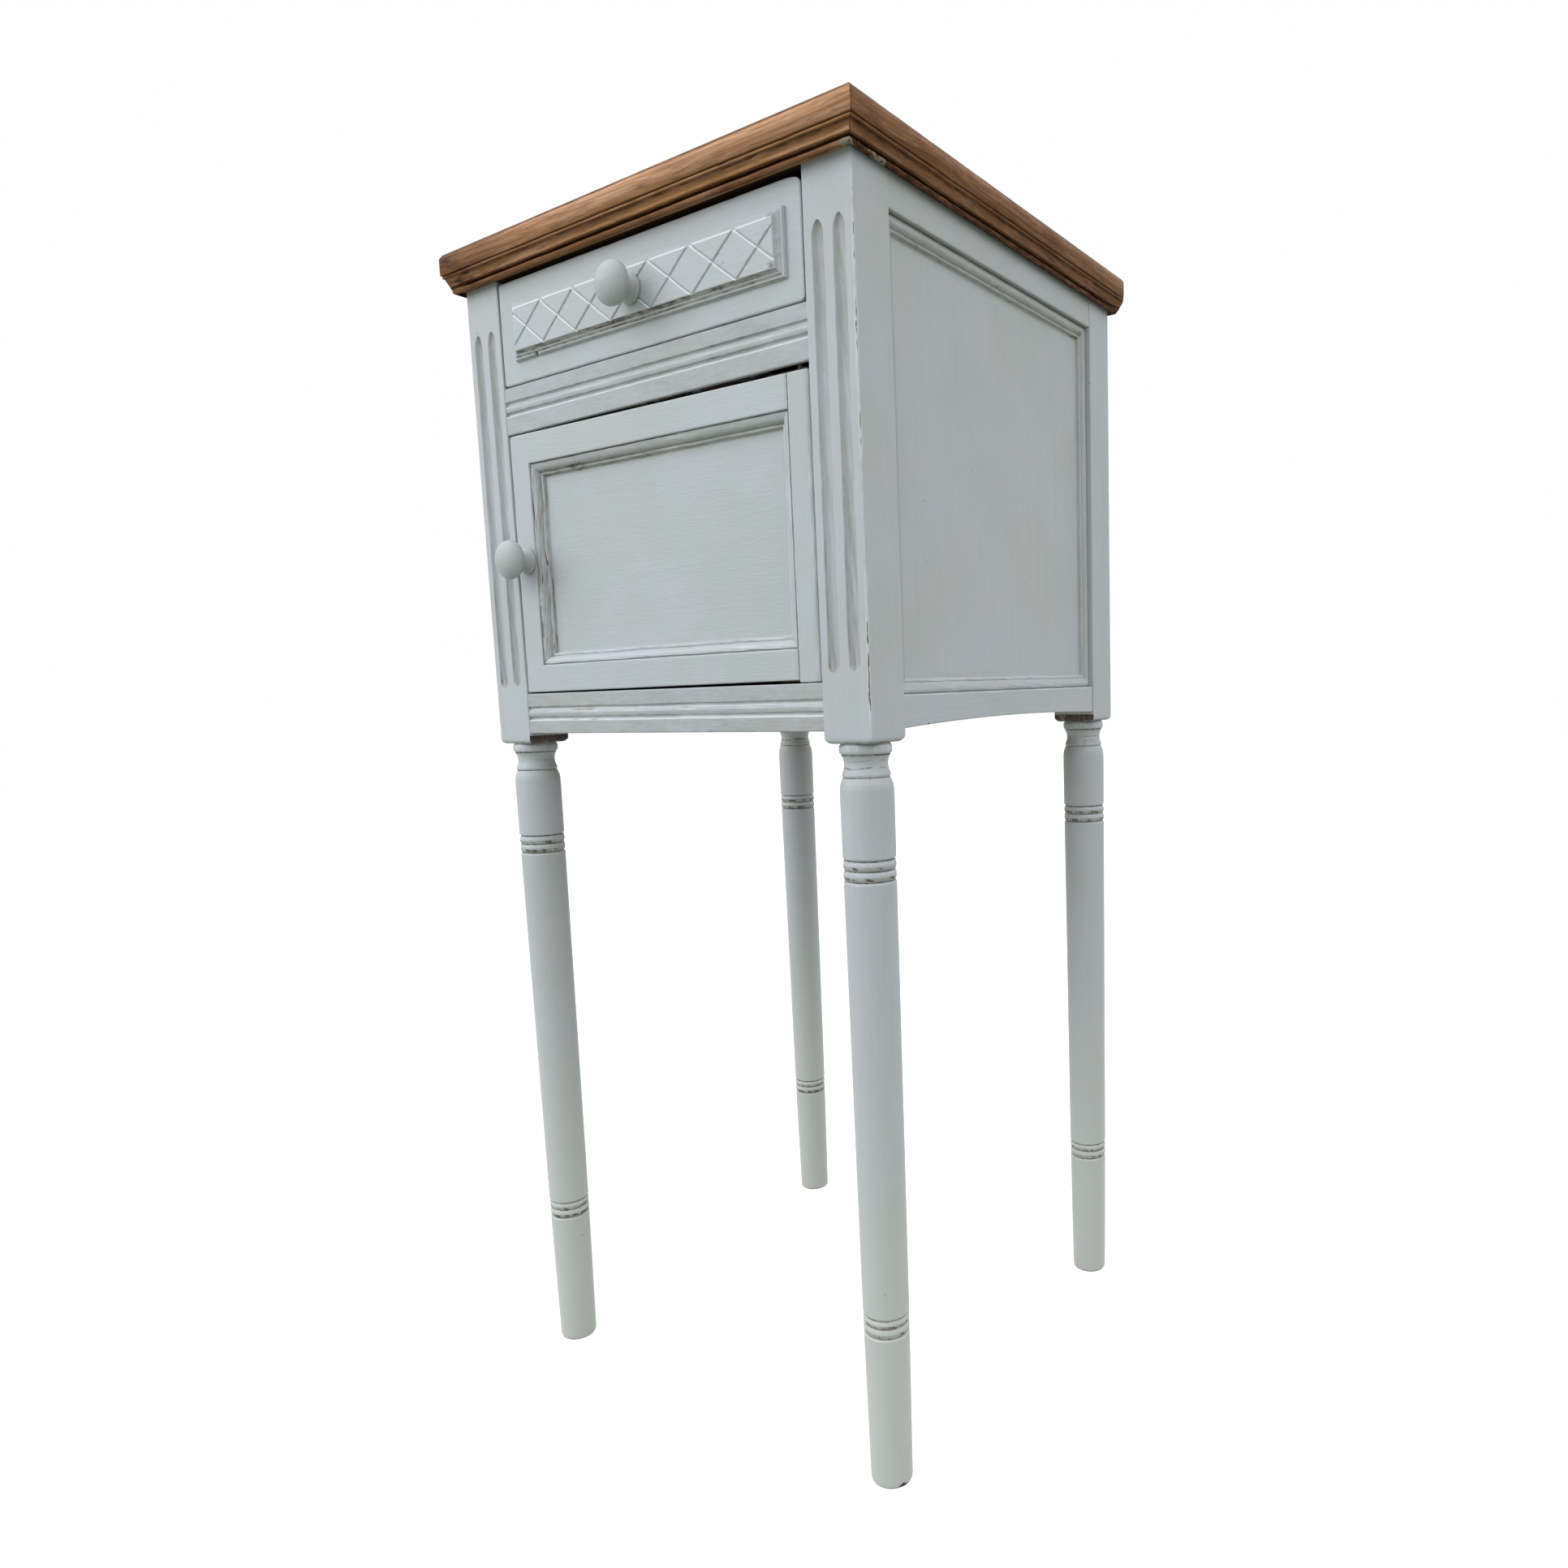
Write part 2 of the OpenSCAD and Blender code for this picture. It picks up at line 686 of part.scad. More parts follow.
module side_top_rail() { side_rail(side_high_low, body_top, side_high_low); }

module side_bottom_rail() {
    r = bow_r(side_len, arch_rise);
    difference() {
        side_rail(rail_z, side_low_top, side_low_top);
        translate([rail_in - cut, body_d / 2, rail_z + arch_rise - r]) rotate([0, 90, 0])
            cylinder(h = rail_t + 2 * cut, r = r, $fn = 720);
    }
}

module side_top_rail_right() { color(paint) place() side_top_rail(); }
module side_top_rail_left() { color(paint) place() mirror([1, 0, 0]) side_top_rail(); }
module side_bottom_rail_right() { color(paint) place() side_bottom_rail(); }
module side_bottom_rail_left() { color(paint) place() mirror([1, 0, 0]) side_bottom_rail(); }

module side_panel() {
    play = 3 * joint_gap;
    block([panel_in, post_w - side_groove + play, side_low_top - side_groove + play],
        [panel_out, body_d - post_w + side_groove - play, side_high_low + side_groove - play]);
}
module side_panel_right() { color(paint) place() side_panel(); }
module side_panel_left() { color(paint) place() mirror([1, 0, 0]) side_panel(); }

module side_moulding() {
    d = side_recess - side_mould_back;
    translate([rail_out - side_mould_back, body_d / 2, (side_low_top + side_high_low) / 2])
        rotate([0, 0, 90]) mitred_frame(side_len, side_high_low - side_low_top, side_mould_w,
            d, mould_points(side_mould_w, d), mitre_gap);
}
module side_moulding_right() { color(paint) place() side_moulding(); }
module side_moulding_left() { color(paint) place() mirror([1, 0, 0]) side_moulding(); }

// Nails of the back panel: up both posts and along both rails
nail_x = open_x + back_rebate / 2;
nail_low_z = rail_z + side_rail_h / 2;
nail_high_z = body_top - nail_drop;
nail_spots = concat(
    [for (i = [0:nails_up - 1], s = [-1, 1])
        [s * nail_x, nail_low_z + (nail_high_z - nail_low_z) * i / (nails_up - 1)]],
    [for (i = [1:nails_across], z = [nail_low_z, nail_high_z])
        [-nail_x + 2 * nail_x * i / (nails_across + 1), z]]);

module nail(grow = 0) {
    rotate([90, 0, 0]) cylinder(h = nail_l - nail_head_t, r = nail_r + grow);
    translate([0, -0.01, 0]) rotate([-90, 0, 0]) cylinder(h = nail_head_t, r = nail_head_r);
}

module nail_cuts() {
    for (p = nail_spots) translate([p[0], body_d, p[1]]) nail(0.03);
}

module back_panel_nails() {
    color(steel) place() for (p = nail_spots) translate([p[0], body_d + 0.01, p[1]]) nail();
}

module back_panel() {
    x = open_x + back_rebate - joint_gap;
    color(ply) place() difference() {
        block([-x, back_face, rail_z], [x, body_d, body_top]);
        nail_cuts();
    }
}

// Cupboard floor on the side and back bottom rails, notched round the posts
module floor_board() {
    y_low = rail_back;
    y_high = back_face;
    notch = joint_gap;
    color(bare_wood) place() difference() {
        block([-panel_in, y_low, side_low_top], [panel_in, y_high, door_z]);
        for (s = [-1, 1], y = [y_low - cut, body_d - post_w - notch])
            translate([s > 0 ? open_x - notch : -half_w, y, side_low_top - cut])
                cube([post_w + notch, (y < post_w ? post_w + notch - y : post_w + cut),
                    door_z - side_low_top + 2 * cut]);
    }
}

// Bearing and guide of the drawer on the right side
module drawer_runner() {
    low = drawer_z - bearing_h;
    union() {
        block([open_x - bearing_w, rail_back, low], [open_x, back_rail_y, drawer_z]);
        block([open_x - 0.01, post_w, low], [panel_in, body_d - post_w, drawer_z]);
        block([open_x, post_w, drawer_z - 0.01], [panel_in, body_d - post_w, drawer_z + guide_h]);
    }
}
module drawer_runner_right() { color(bare_wood) place() drawer_runner(); }
module drawer_runner_left() { color(bare_wood) place() mirror([1, 0, 0]) drawer_runner(); }

// Strips over the drawer sides; the top is screwed on through them
module drawer_kickers() {
    color(bare_wood) place() difference() {
        for (s = [0, 1]) mirror([s, 0, 0])
            block([open_x - bearing_w, post_w, kicker_z], [open_x, back_rail_y, body_top]);
        top_screw_cuts();
    }
}

top_screw_spots = [for (s = [-1, 1], y = [post_w + 30, back_rail_y - 40])
    [s * (open_x - bearing_w / 2), y]];

module top_screw_cuts() {
    for (p = top_screw_spots) translate([p[0], p[1], kicker_z]) {
        translate([0, 0, -cut]) cylinder(h = top_screw_sink + cut, r = top_screw_head_r + 0.03);
        translate([0, 0, top_screw_sink]) mirror([0, 0, 1])
            wood_screw(top_screw_r, top_screw_head_r, top_screw_l, 0.03);
    }
}

module top_screws() {
    color(steel) place() for (p = top_screw_spots)
        translate([p[0], p[1], kicker_z + top_screw_sink]) mirror([0, 0, 1])
            slotted_screw(top_screw_r, top_screw_head_r, top_screw_l);
}

// Blocks on the runners that the drawer meets when it is shut
module drawer_stops() {
    color(bare_wood) place() for (s = [0, 1]) mirror([s, 0, 0])
        block([open_x - bearing_w, back_rail_y - stop_t, drawer_z],
            [open_x - 2, back_rail_y, drawer_z + stop_h]);
}

// Pivot plate with Z = 0 at its outer face; grow widens it to its recess
module pivot_plate(grow = 0) {
    translate([plate_right - plate_l - grow, plate_mid_y - plate_w / 2 - grow, -plate_t])
        cube([plate_l + 2 * grow, plate_w + 2 * grow, plate_t + (grow > 0 ? cut : 0)]);
}

plate_screw_x = [plate_right - plate_l + 4.5, plate_right - plate_l + 13.5];

// Recess, pin bore and screw holes in a rail whose face is Z = 0
module socket_cuts() {
    pivot_plate(joint_gap);
    translate([pin_x, pin_y, -plate_t - pin_depth - cut])
        cylinder(h = pin_depth + plate_t + cut, r = pin_r + slide_gap);
    for (x = plate_screw_x) translate([x, plate_mid_y, 0])
        wood_screw(screw_r, screw_head_r, screw_l, 0.03);
}

// Plate in a rail, with the pin's hole
module pivot_socket() {
    difference() {
        pivot_plate();
        translate([pin_x, pin_y, -plate_t - cut]) cylinder(h = plate_t + 2 * cut, r = pin_r + pin_fit);
        for (x = plate_screw_x) translate([x, plate_mid_y, 0])
            wood_screw(screw_r, screw_head_r, screw_l, 0.03);
    }
}
module pivot_socket_bottom() { color(steel) place() translate([0, 0, door_z]) pivot_socket(); }
module pivot_socket_top() {
    color(steel) place() translate([0, 0, mid_z]) mirror([0, 0, 1]) pivot_socket();
}

// Washer that carries the door on the lower plate
washer_r = 4.5;
module pivot_washer() {
    color(brass) place() translate([pin_x, pin_y, door_z]) difference() {
        cylinder(h = door_gap_low - slide_gap / 2, r = washer_r);
        translate([0, 0, -cut]) cylinder(h = door_gap_low + 2 * cut, r = pin_r + pin_fit);
    }
}

// Plates let into the door's ends, each with its pin
module door_pivot(gap) {
    difference() {
        union() {
            pivot_plate();
            translate([pin_x, pin_y, -0.01]) cylinder(h = gap + plate_t + pin_depth - 0.5, r = pin_r);
        }
        for (x = plate_screw_x) translate([x, plate_mid_y, 0])
            wood_screw(screw_r, screw_head_r, screw_l, 0.03);
    }
}
module door_pivots() {
    color(steel) place() {
        translate([0, 0, door_high]) door_pivot(door_gap_high);
        translate([0, 0, door_low]) mirror([0, 0, 1]) door_pivot(door_gap_low);
    }
}

// Recesses and screw holes in the door's ends
module door_end_cuts() {
    for (s = [0, 1]) translate([0, 0, s > 0 ? door_low : door_high]) mirror([0, 0, s]) {
        pivot_plate(joint_gap);
        for (x = plate_screw_x) translate([x, plate_mid_y, 0])
            wood_screw(screw_r, screw_head_r, screw_l, 0.03);
    }
}

// Magnetic catch on the inner face of the left front post
module catch_screw_cuts() {
    for (s = [-1, 1]) translate([catch_w - open_x, catch_y + catch_d / 2, catch_z + s * catch_screw_off])
        rotate([0, 90, 0]) wood_screw(screw_r, screw_head_r, catch_w + screw_l / 2, 0.03);
}

module catch_case() {
    color([0.90, 0.89, 0.85]) place() difference() {
        block([-open_x, catch_y, catch_z - catch_h / 2],
            [catch_w - open_x, catch_y + catch_d, catch_z + catch_h / 2]);
        translate([catch_w / 2 - open_x - magnet_w / 2 - joint_gap, catch_y - cut,
            catch_z - magnet_h / 2 - joint_gap])
            cube([magnet_w + 2 * joint_gap, magnet_d + cut, magnet_h + 2 * joint_gap]);
        catch_screw_cuts();
    }
}

module catch_magnet() {
    color(magnet_grey) place() translate([catch_w / 2 - open_x - magnet_w / 2, catch_y,
        catch_z - magnet_h / 2]) cube([magnet_w, magnet_d, magnet_h]);
}

// Screws of the pivot sockets and of the catch
module carcass_screws() {
    color(steel) place() {
        for (x = plate_screw_x) {
            translate([x, plate_mid_y, door_z]) slotted_screw(screw_r, screw_head_r, screw_l);
            translate([x, plate_mid_y, mid_z]) mirror([0, 0, 1])
                slotted_screw(screw_r, screw_head_r, screw_l);
        }
        for (s = [-1, 1])
            translate([catch_w - open_x, catch_y + catch_d / 2, catch_z + s * catch_screw_off])
                rotate([0, 90, 0]) slotted_screw(screw_r, screw_head_r, catch_w + screw_l / 2);
    }
}

strike_x = catch_w / 2 - open_x;
module strike_cuts() {
    for (s = [-1, 1]) translate([strike_x, door_back + strike_t, catch_z + s * strike_screw_off])
        rotate([-90, 0, 0]) wood_screw(screw_r, screw_head_r, screw_l, 0.03);
}

module strike_plate() {
    color(steel) place() difference() {
        translate([strike_x - strike_w / 2, door_back, catch_z - strike_h / 2])
            cube([strike_w, strike_t, strike_h]);
        strike_cuts();
    }
}

// Screws of the pivot plates and of the strike plate, which move with the door
module door_screws() {
    color(steel) place() {
        for (x = plate_screw_x) {
            translate([x, plate_mid_y, door_high]) slotted_screw(screw_r, screw_head_r, screw_l);
            translate([x, plate_mid_y, door_low]) mirror([0, 0, 1])
                slotted_screw(screw_r, screw_head_r, screw_l);
        }
        for (s = [-1, 1]) translate([strike_x, door_back + strike_t, catch_z + s * strike_screw_off])
            rotate([-90, 0, 0]) slotted_screw(screw_r, screw_head_r, screw_l);
    }
}

// Dovetail tails at the front end of a drawer side, on the right
tail_h = drawer_side_high - drawer_run_z;
module tails(grow) {
    for (i = [0:tail_count - 1]) {
        z = drawer_run_z + tail_h * (i + 0.5) / tail_count;
        w = tail_w / 2 + grow;
        translate([drawer_x - drawer_side_t - grow, 0, z]) rotate([90, 0, 90])
            linear_extrude(drawer_side_t + grow + (grow > 0 ? cut : 0))
            polygon([[drawer_back_y + 0.01, -w + tail_flare], [drawer_back_y + 0.01, w - tail_flare],
                [drawer_back_y - lap_t - grow, w], [drawer_back_y - lap_t - grow, -w]]);
    }
}

// Drawer bottom with its grooves' allowance
drawer_floor_low = drawer_run_z + drawer_floor_z;
module drawer_floor_slab(play) {
    x = drawer_x - drawer_side_t + drawer_groove;
    block([-x - play, drawer_back_y - drawer_groove - play, drawer_floor_low - play],
        [x + play, drawer_end, drawer_floor_low + drawer_floor_t + play]);
}

module drawer_front() {
    color(paint) place() difference() {
        block([-drawer_x, drawer_face_y, drawer_low], [drawer_x, drawer_back_y, drawer_high]);
        for (s = [0, 1]) mirror([s, 0, 0]) tails(joint_gap);
        intersection() {
            drawer_floor_slab(joint_gap);
            block([-drawer_x, drawer_face_y, drawer_low], [drawer_x, drawer_back_y + cut, drawer_high]);
        }
        knob_screw_cut([plaque_off, drawer_back_y, plaque_z], drawer_front_t + cut);
    }
}

// Drawer side on the right, with the groove for the bottom
module drawer_side() {
    difference() {
        union() {
            block([drawer_x - drawer_side_t, drawer_back_y, drawer_run_z],
                [drawer_x, drawer_end, drawer_side_high]);
            tails(0);
        }
        drawer_floor_slab(joint_gap);
        drawer_back_housing(joint_gap);
    }
}
module drawer_side_right() { color(bare_wood) place() drawer_side(); }
module drawer_side_left() { color(bare_wood) place() mirror([1, 0, 0]) drawer_side(); }

// Drawer back, housed in the sides and standing on the drawer bottom
housing_d = 4;
module drawer_back_housing(play) {
    x = drawer_x - drawer_side_t + housing_d;
    y = drawer_end - drawer_side_t - 4;
    block([-x - play, y - play, drawer_floor_low + drawer_floor_t],
        [x + play, y + drawer_side_t + play, drawer_side_high + (play > 0 ? cut : -3)]);
}
module drawer_back() { color(bare_wood) place() drawer_back_housing(0); }

module drawer_bottom() { color(ply) place() drawer_floor_slab(0); }

// Carved plaque: moulded edge, flat field and a row of V-cut crosses
module drawer_plaque() {
    lean = atan(field_h / cross_pitch);
    run = sqrt(field_h * field_h + cross_pitch * cross_pitch);
    first = -(cross_count - 1) / 2;
    side = cross_d * sqrt(2);
    color(paint) place() translate([plaque_off, drawer_face_y - plaque_t, plaque_z]) difference() {
        union() {
            mitred_frame(plaque_w, plaque_h, plaque_edge + 1, plaque_t,
                plaque_points(plaque_edge, plaque_t), 0);
            translate([-field_w / 2, 0, -field_h / 2]) cube([field_w, plaque_t, field_h]);
        }
        intersection() {
            for (i = [0:cross_count - 1], s = [-1, 1])
                translate([(first + i) * cross_pitch, 0, 0]) rotate([0, s * lean, 0])
                    rotate([45, 0, 0]) cube([run, side, side], center = true);
            translate([-field_w / 2 - cut, -cut, -field_h / 2])
                cube([field_w + 2 * cut, plaque_t, field_h]);
        }
        knob_screw_cut([0, plaque_t, 0], plaque_t + cut);
    }
}

// Turned knob whose axis points to -Y; the seat is Y = 0
function knob_points() =
    let (head = 12, dome = head * 0.55, neck = knob_l - head)
    concat([[0, 0], [knob_foot_r, 0]],
        arc(knob_foot_r - 1, 1.2, 1, 0, 80, 4),
        [for (i = [0:8]) let (t = 22.5 * i - 90)
            [knob_waist_r + 1.2 + 1.2 * sin(2 * abs(t) - 90), 2.8 + (neck - 3.2) * (i / 8)]],
        [for (i = [0:6]) let (t = 15 * i)
            [knob_r - (knob_r - knob_waist_r - 3) * (1 - sin(t)),
             neck + (head - dome) * (1 - cos(t))]],
        [for (i = [1:8]) let (t = 11.25 * i)
            [knob_r * cos(t), knob_l - dome + dome * sin(t)]]);

module knob(screw_l_in) {
    difference() {
        rotate([90, 0, 0]) rotate_extrude() polygon(knob_points());
        translate([0, cut, 0]) rotate([90, 0, 0])
            cylinder(h = screw_l_in + 0.2 + cut, r = knob_screw_r + 0.03);
    }
}

// Knob screw: pan head on the inside, shank towards -Y into the knob
knob_screw_head_r = 4;
knob_screw_head_t = 2;
knob_bite = 10;
module knob_screw(len) {
    difference() {
        union() {
            rotate([90, 0, 0]) cylinder(h = len, r = knob_screw_r);
            rotate([-90, 0, 0]) cylinder(h = knob_screw_head_t, r = knob_screw_head_r);
        }
        translate([0, knob_screw_head_t - 0.4, 0])
            cube([2 * knob_screw_head_r + cut, 0.81, 1], center = true);
    }
}
module knob_screw_cut(seat, len) {
    translate([seat[0], seat[1] + cut, seat[2]]) rotate([90, 0, 0])
        cylinder(h = len + cut, r = knob_screw_r + joint_gap);
}

module drawer_knob() {
    color(paint) place() translate([plaque_off, drawer_face_y - plaque_t, plaque_z])
        knob(knob_bite);
}
module drawer_knob_screw() {
    color(steel) place() translate([plaque_off, drawer_back_y, plaque_z])
        knob_screw(drawer_front_t + plaque_t + knob_bite);
}
module door_knob() {
    color(paint) place() translate([knob_x, face_set, knob_z]) knob(knob_bite);
}
module door_knob_screw() {
    color(steel) place() translate([knob_x, door_back, knob_z]) knob_screw(door_t + knob_bite);
}

// Groove and mortises for the panel and rails in a door stile; x is its inner edge
module stile_cuts(x, dir) {
    reach = small_tenon_l + joint_gap;
    for (span = [[door_low + shoulder, door_low + door_low_h - door_groove - shoulder],
                 [door_high - door_top_h + door_groove + shoulder, door_high - shoulder]])
        block([min(x - dir * cut, x + dir * reach), panel_y - joint_gap, span[0] - joint_gap],
            [max(x - dir * cut, x + dir * reach), panel_y + door_panel_t + joint_gap,
                span[1] + joint_gap]);
    block([min(x - dir * cut, x + dir * door_groove), panel_y - joint_gap,
            door_low + door_low_h - door_groove],
        [max(x - dir * cut, x + dir * door_groove), panel_y + door_panel_t + joint_gap,
            door_high - door_top_h + door_groove]);
}

stile_left_x = door_left + knob_stile_w;
stile_right_x = door_right - hinge_stile_w;

module door_stile_knob() {
    color(paint) place() difference() {
        block([door_left, face_set, door_low], [stile_left_x, door_back, door_high]);
        stile_cuts(stile_left_x, -1);
        strike_cuts();
        knob_screw_cut([knob_x, door_back, knob_z], door_t + cut);
    }
}

module door_stile_hinge() {
    r = door_round;
    color(paint) place() difference() {
        translate([0, 0, door_low]) linear_extrude(door_high - door_low)
            polygon(concat([[stile_right_x, door_back], [stile_right_x, face_set]],
                arc(door_right - r, face_set + r, r, -90, 0, 8), [[door_right, door_back]]));
        stile_cuts(stile_right_x, 1);
        door_end_cuts();
    }
}

// Door rail between the stiles; groove_z is its grooved edge
module door_rail(z_low, z_high, groove_z) {
    up = groove_z > z_low + cut;
    difference() {
        union() {
            block([stile_left_x, face_set, z_low], [stile_right_x, door_back, z_high]);
            block([stile_left_x - small_tenon_l, panel_y, z_low + shoulder + (up ? 0 : door_groove)],
                [stile_right_x + small_tenon_l, panel_y + door_panel_t,
                    z_high - shoulder - (up ? door_groove : 0)]);
        }
        block([stile_left_x - cut, panel_y - joint_gap, groove_z - door_groove],
            [stile_right_x + cut, panel_y + door_panel_t + joint_gap, groove_z + door_groove]);
        door_end_cuts();
    }
}
module door_top_rail() {
    color(paint) place() door_rail(door_high - door_top_h, door_high, door_high - door_top_h);
}
module door_bottom_rail() {
    color(paint) place() door_rail(door_low, door_low + door_low_h, door_low + door_low_h);
}

module door_panel() {
    play = 3 * joint_gap;
    color(paint) place()
        block([stile_left_x - door_groove + play, panel_y, door_low + door_low_h - door_groove + play],
            [stile_right_x + door_groove - play, panel_y + door_panel_t,
                door_high - door_top_h + door_groove - play]);
}

module door_moulding() {
    w = stile_right_x - stile_left_x;
    low = door_low + door_low_h;
    high = door_high - door_top_h;
    color(paint) place()
        translate([(stile_left_x + stile_right_x) / 2, face_set, (low + high) / 2])
        mitred_frame(w, high - low, door_mould_w, door_recess,
            mould_points(door_mould_w, door_recess), mitre_gap);
}

top_panel();
top_edge(0);  // top_edge_front
top_edge(90);  // top_edge_right
top_edge(180);  // top_edge_back
top_edge(270);  // top_edge_left
bed_moulding(0);  // bed_moulding_front
bed_moulding(90);  // bed_moulding_right
bed_moulding(180);  // bed_moulding_back
bed_moulding(270);  // bed_moulding_left
leg_front_left();
leg_front_right();
leg_back_left();
leg_back_right();
front_top_rail();
drawer_rail();
bottom_rail();
back_top_rail();
back_bottom_rail();
side_top_rail_left();
side_top_rail_right();
side_bottom_rail_left();
side_bottom_rail_right();
side_panel_left();
side_panel_right();
side_moulding_left();
side_moulding_right();
back_panel();
back_panel_nails();
floor_board();
drawer_runner_left();
drawer_runner_right();
drawer_kickers();
drawer_stops();
top_screws();
pivot_socket_top();
pivot_socket_bottom();
pivot_washer();
catch_case();
catch_magnet();
carcass_screws();
drawer_front();
drawer_plaque();
drawer_side_left();
drawer_side_right();
drawer_back();
drawer_bottom();
drawer_knob();
drawer_knob_screw();
door_stile_knob();
door_stile_hinge();
door_top_rail();
door_bottom_rail();
door_panel();
door_moulding();
door_pivots();
door_knob();
door_knob_screw();
strike_plate();
door_screws();
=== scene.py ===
"""Bedside cabinet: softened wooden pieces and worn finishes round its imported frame."""
import math

import bpy
import numpy as np
from bpy.props import FloatProperty, FloatVectorProperty, PointerProperty
from mathutils import Matrix, Vector


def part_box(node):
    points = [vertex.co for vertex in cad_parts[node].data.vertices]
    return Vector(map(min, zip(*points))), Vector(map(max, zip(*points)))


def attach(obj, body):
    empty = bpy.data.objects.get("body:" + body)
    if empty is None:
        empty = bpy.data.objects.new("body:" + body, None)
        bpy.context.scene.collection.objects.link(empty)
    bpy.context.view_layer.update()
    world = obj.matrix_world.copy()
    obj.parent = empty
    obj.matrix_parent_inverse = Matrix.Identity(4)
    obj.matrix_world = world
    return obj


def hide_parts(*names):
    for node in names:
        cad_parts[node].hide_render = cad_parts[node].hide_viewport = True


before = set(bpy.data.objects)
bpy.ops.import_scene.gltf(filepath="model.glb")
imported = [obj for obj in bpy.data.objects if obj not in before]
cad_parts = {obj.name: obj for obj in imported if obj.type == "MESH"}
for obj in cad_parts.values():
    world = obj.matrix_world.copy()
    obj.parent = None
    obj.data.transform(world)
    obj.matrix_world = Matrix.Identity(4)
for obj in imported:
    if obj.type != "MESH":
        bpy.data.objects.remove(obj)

bl_info = {
    "name": "Bedside cabinet finish",
    "version": (1, 0, 0),
    "blender": (4, 5, 0),
    "location": "3D View > Sidebar > Cabinet",
    "description": "Shapes and finishes the painted bedside cabinet round its frame",
    "category": "Object",
}

MM = 0.001
# Faces that meet at more than this angle keep a sharp edge between them
SHARP_ANGLE = math.radians(38)
# Wear of wood that was never painted, and the wear over which its dark tone shows
UNPAINTED = 1.4
UNPAINTED_FROM = 1.15
# Wear of oak where a little paint has run over it
PAINTED_OVER = 1.4
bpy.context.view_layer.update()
X, Y, Z = np.eye(3)


def box_mm(node):
    """Lowest and highest corner of a frame node, in millimetres."""
    low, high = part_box(node)
    return np.array(low) / MM, np.array(high) / MM


def letter(direction):
    """x, y or z: the axis that a direction lies along."""
    return "xyz"[int(np.argmax(np.abs(direction)))]


def srgb(red, green, blue):
    """Linear colour of three display values from 0 to 255."""
    return tuple((c / 255 / 12.92 if c < 11 else ((c / 255 + 0.055) / 1.055) ** 2.4)
                 for c in (red, green, blue))


# Lines of the cabinet that the frame's boxes give, in millimetres
POST_LOW, POST_HIGH = box_mm("leg_front_right")
BACK_POST_LOW, BACK_POST_HIGH = box_mm("leg_back_right")
POST_W = POST_HIGH[0] - POST_LOW[0]
HALF_W = POST_HIGH[0]
OPEN_X = POST_LOW[0]
FRONT_Y = POST_LOW[1]
BACK_Y = BACK_POST_HIGH[1]
BODY_TOP = POST_HIGH[2]
RAIL_LOW, RAIL_HIGH = box_mm("bottom_rail")
BED_Z = box_mm("bed_moulding_front")[0][2]
FACE_Y = RAIL_LOW[1]
RAIL_T = RAIL_HIGH[1] - RAIL_LOW[1]
SIDE_OUT = box_mm("side_top_rail_right")[1][0]
TOP_REACH = box_mm("top_edge_right")[1][0] - HALF_W
TOP_FRONT_Y = box_mm("top_edge_front")[0][1] + TOP_REACH
TOP_T = box_mm("top_edge_front")[1][2] - BODY_TOP
LIP_IN = HALF_W - box_mm("top_edge_right")[0][0]
# Rebate of the back posts that the back panel lies in
REBATE_W = box_mm("back_panel")[1][0] + 0.1 - OPEN_X
REBATE_T = BACK_Y - box_mm("back_panel")[0][1]
REBATE_Z = box_mm("back_panel")[0][2]
DOOR_BOX = box_mm("door_stile_knob")[0], box_mm("door_stile_hinge")[1]


class CabinetShape(bpy.types.PropertyGroup):
    """Sizes of the softened wooden pieces."""

    arris: FloatProperty(
        name="Arris", description="Rounding of the boards' long edges", default=0.9 * MM,
        min=0.3 * MM, max=2 * MM, unit="LENGTH", precision=4)
    fray: FloatProperty(
        name="Fray", description="Depth of the nicks along worn edges", default=0.35 * MM,
        min=0, max=1 * MM, unit="LENGTH", precision=4)
    post_foot: FloatProperty(
        name="Post foot", description="Height of the square posts' lower ends", default=0.480,
        unit="LENGTH", precision=4)
    flute_width: FloatProperty(
        name="Flute width", description="Width of the flutes in the front posts",
        default=8.5 * MM, unit="LENGTH", precision=4)
    flute_depth: FloatProperty(
        name="Flute depth", description="Depth of the flutes", default=2.5 * MM,
        unit="LENGTH", precision=4)
    groove_depth: FloatProperty(
        name="Groove depth", description="Depth of the plaque's V grooves", default=1.2 * MM,
        unit="LENGTH", precision=4)
    arch_rise: FloatProperty(
        name="Arch rise", description="Rise of the side rails' arched lower edges",
        default=3 * MM, unit="LENGTH", precision=4)


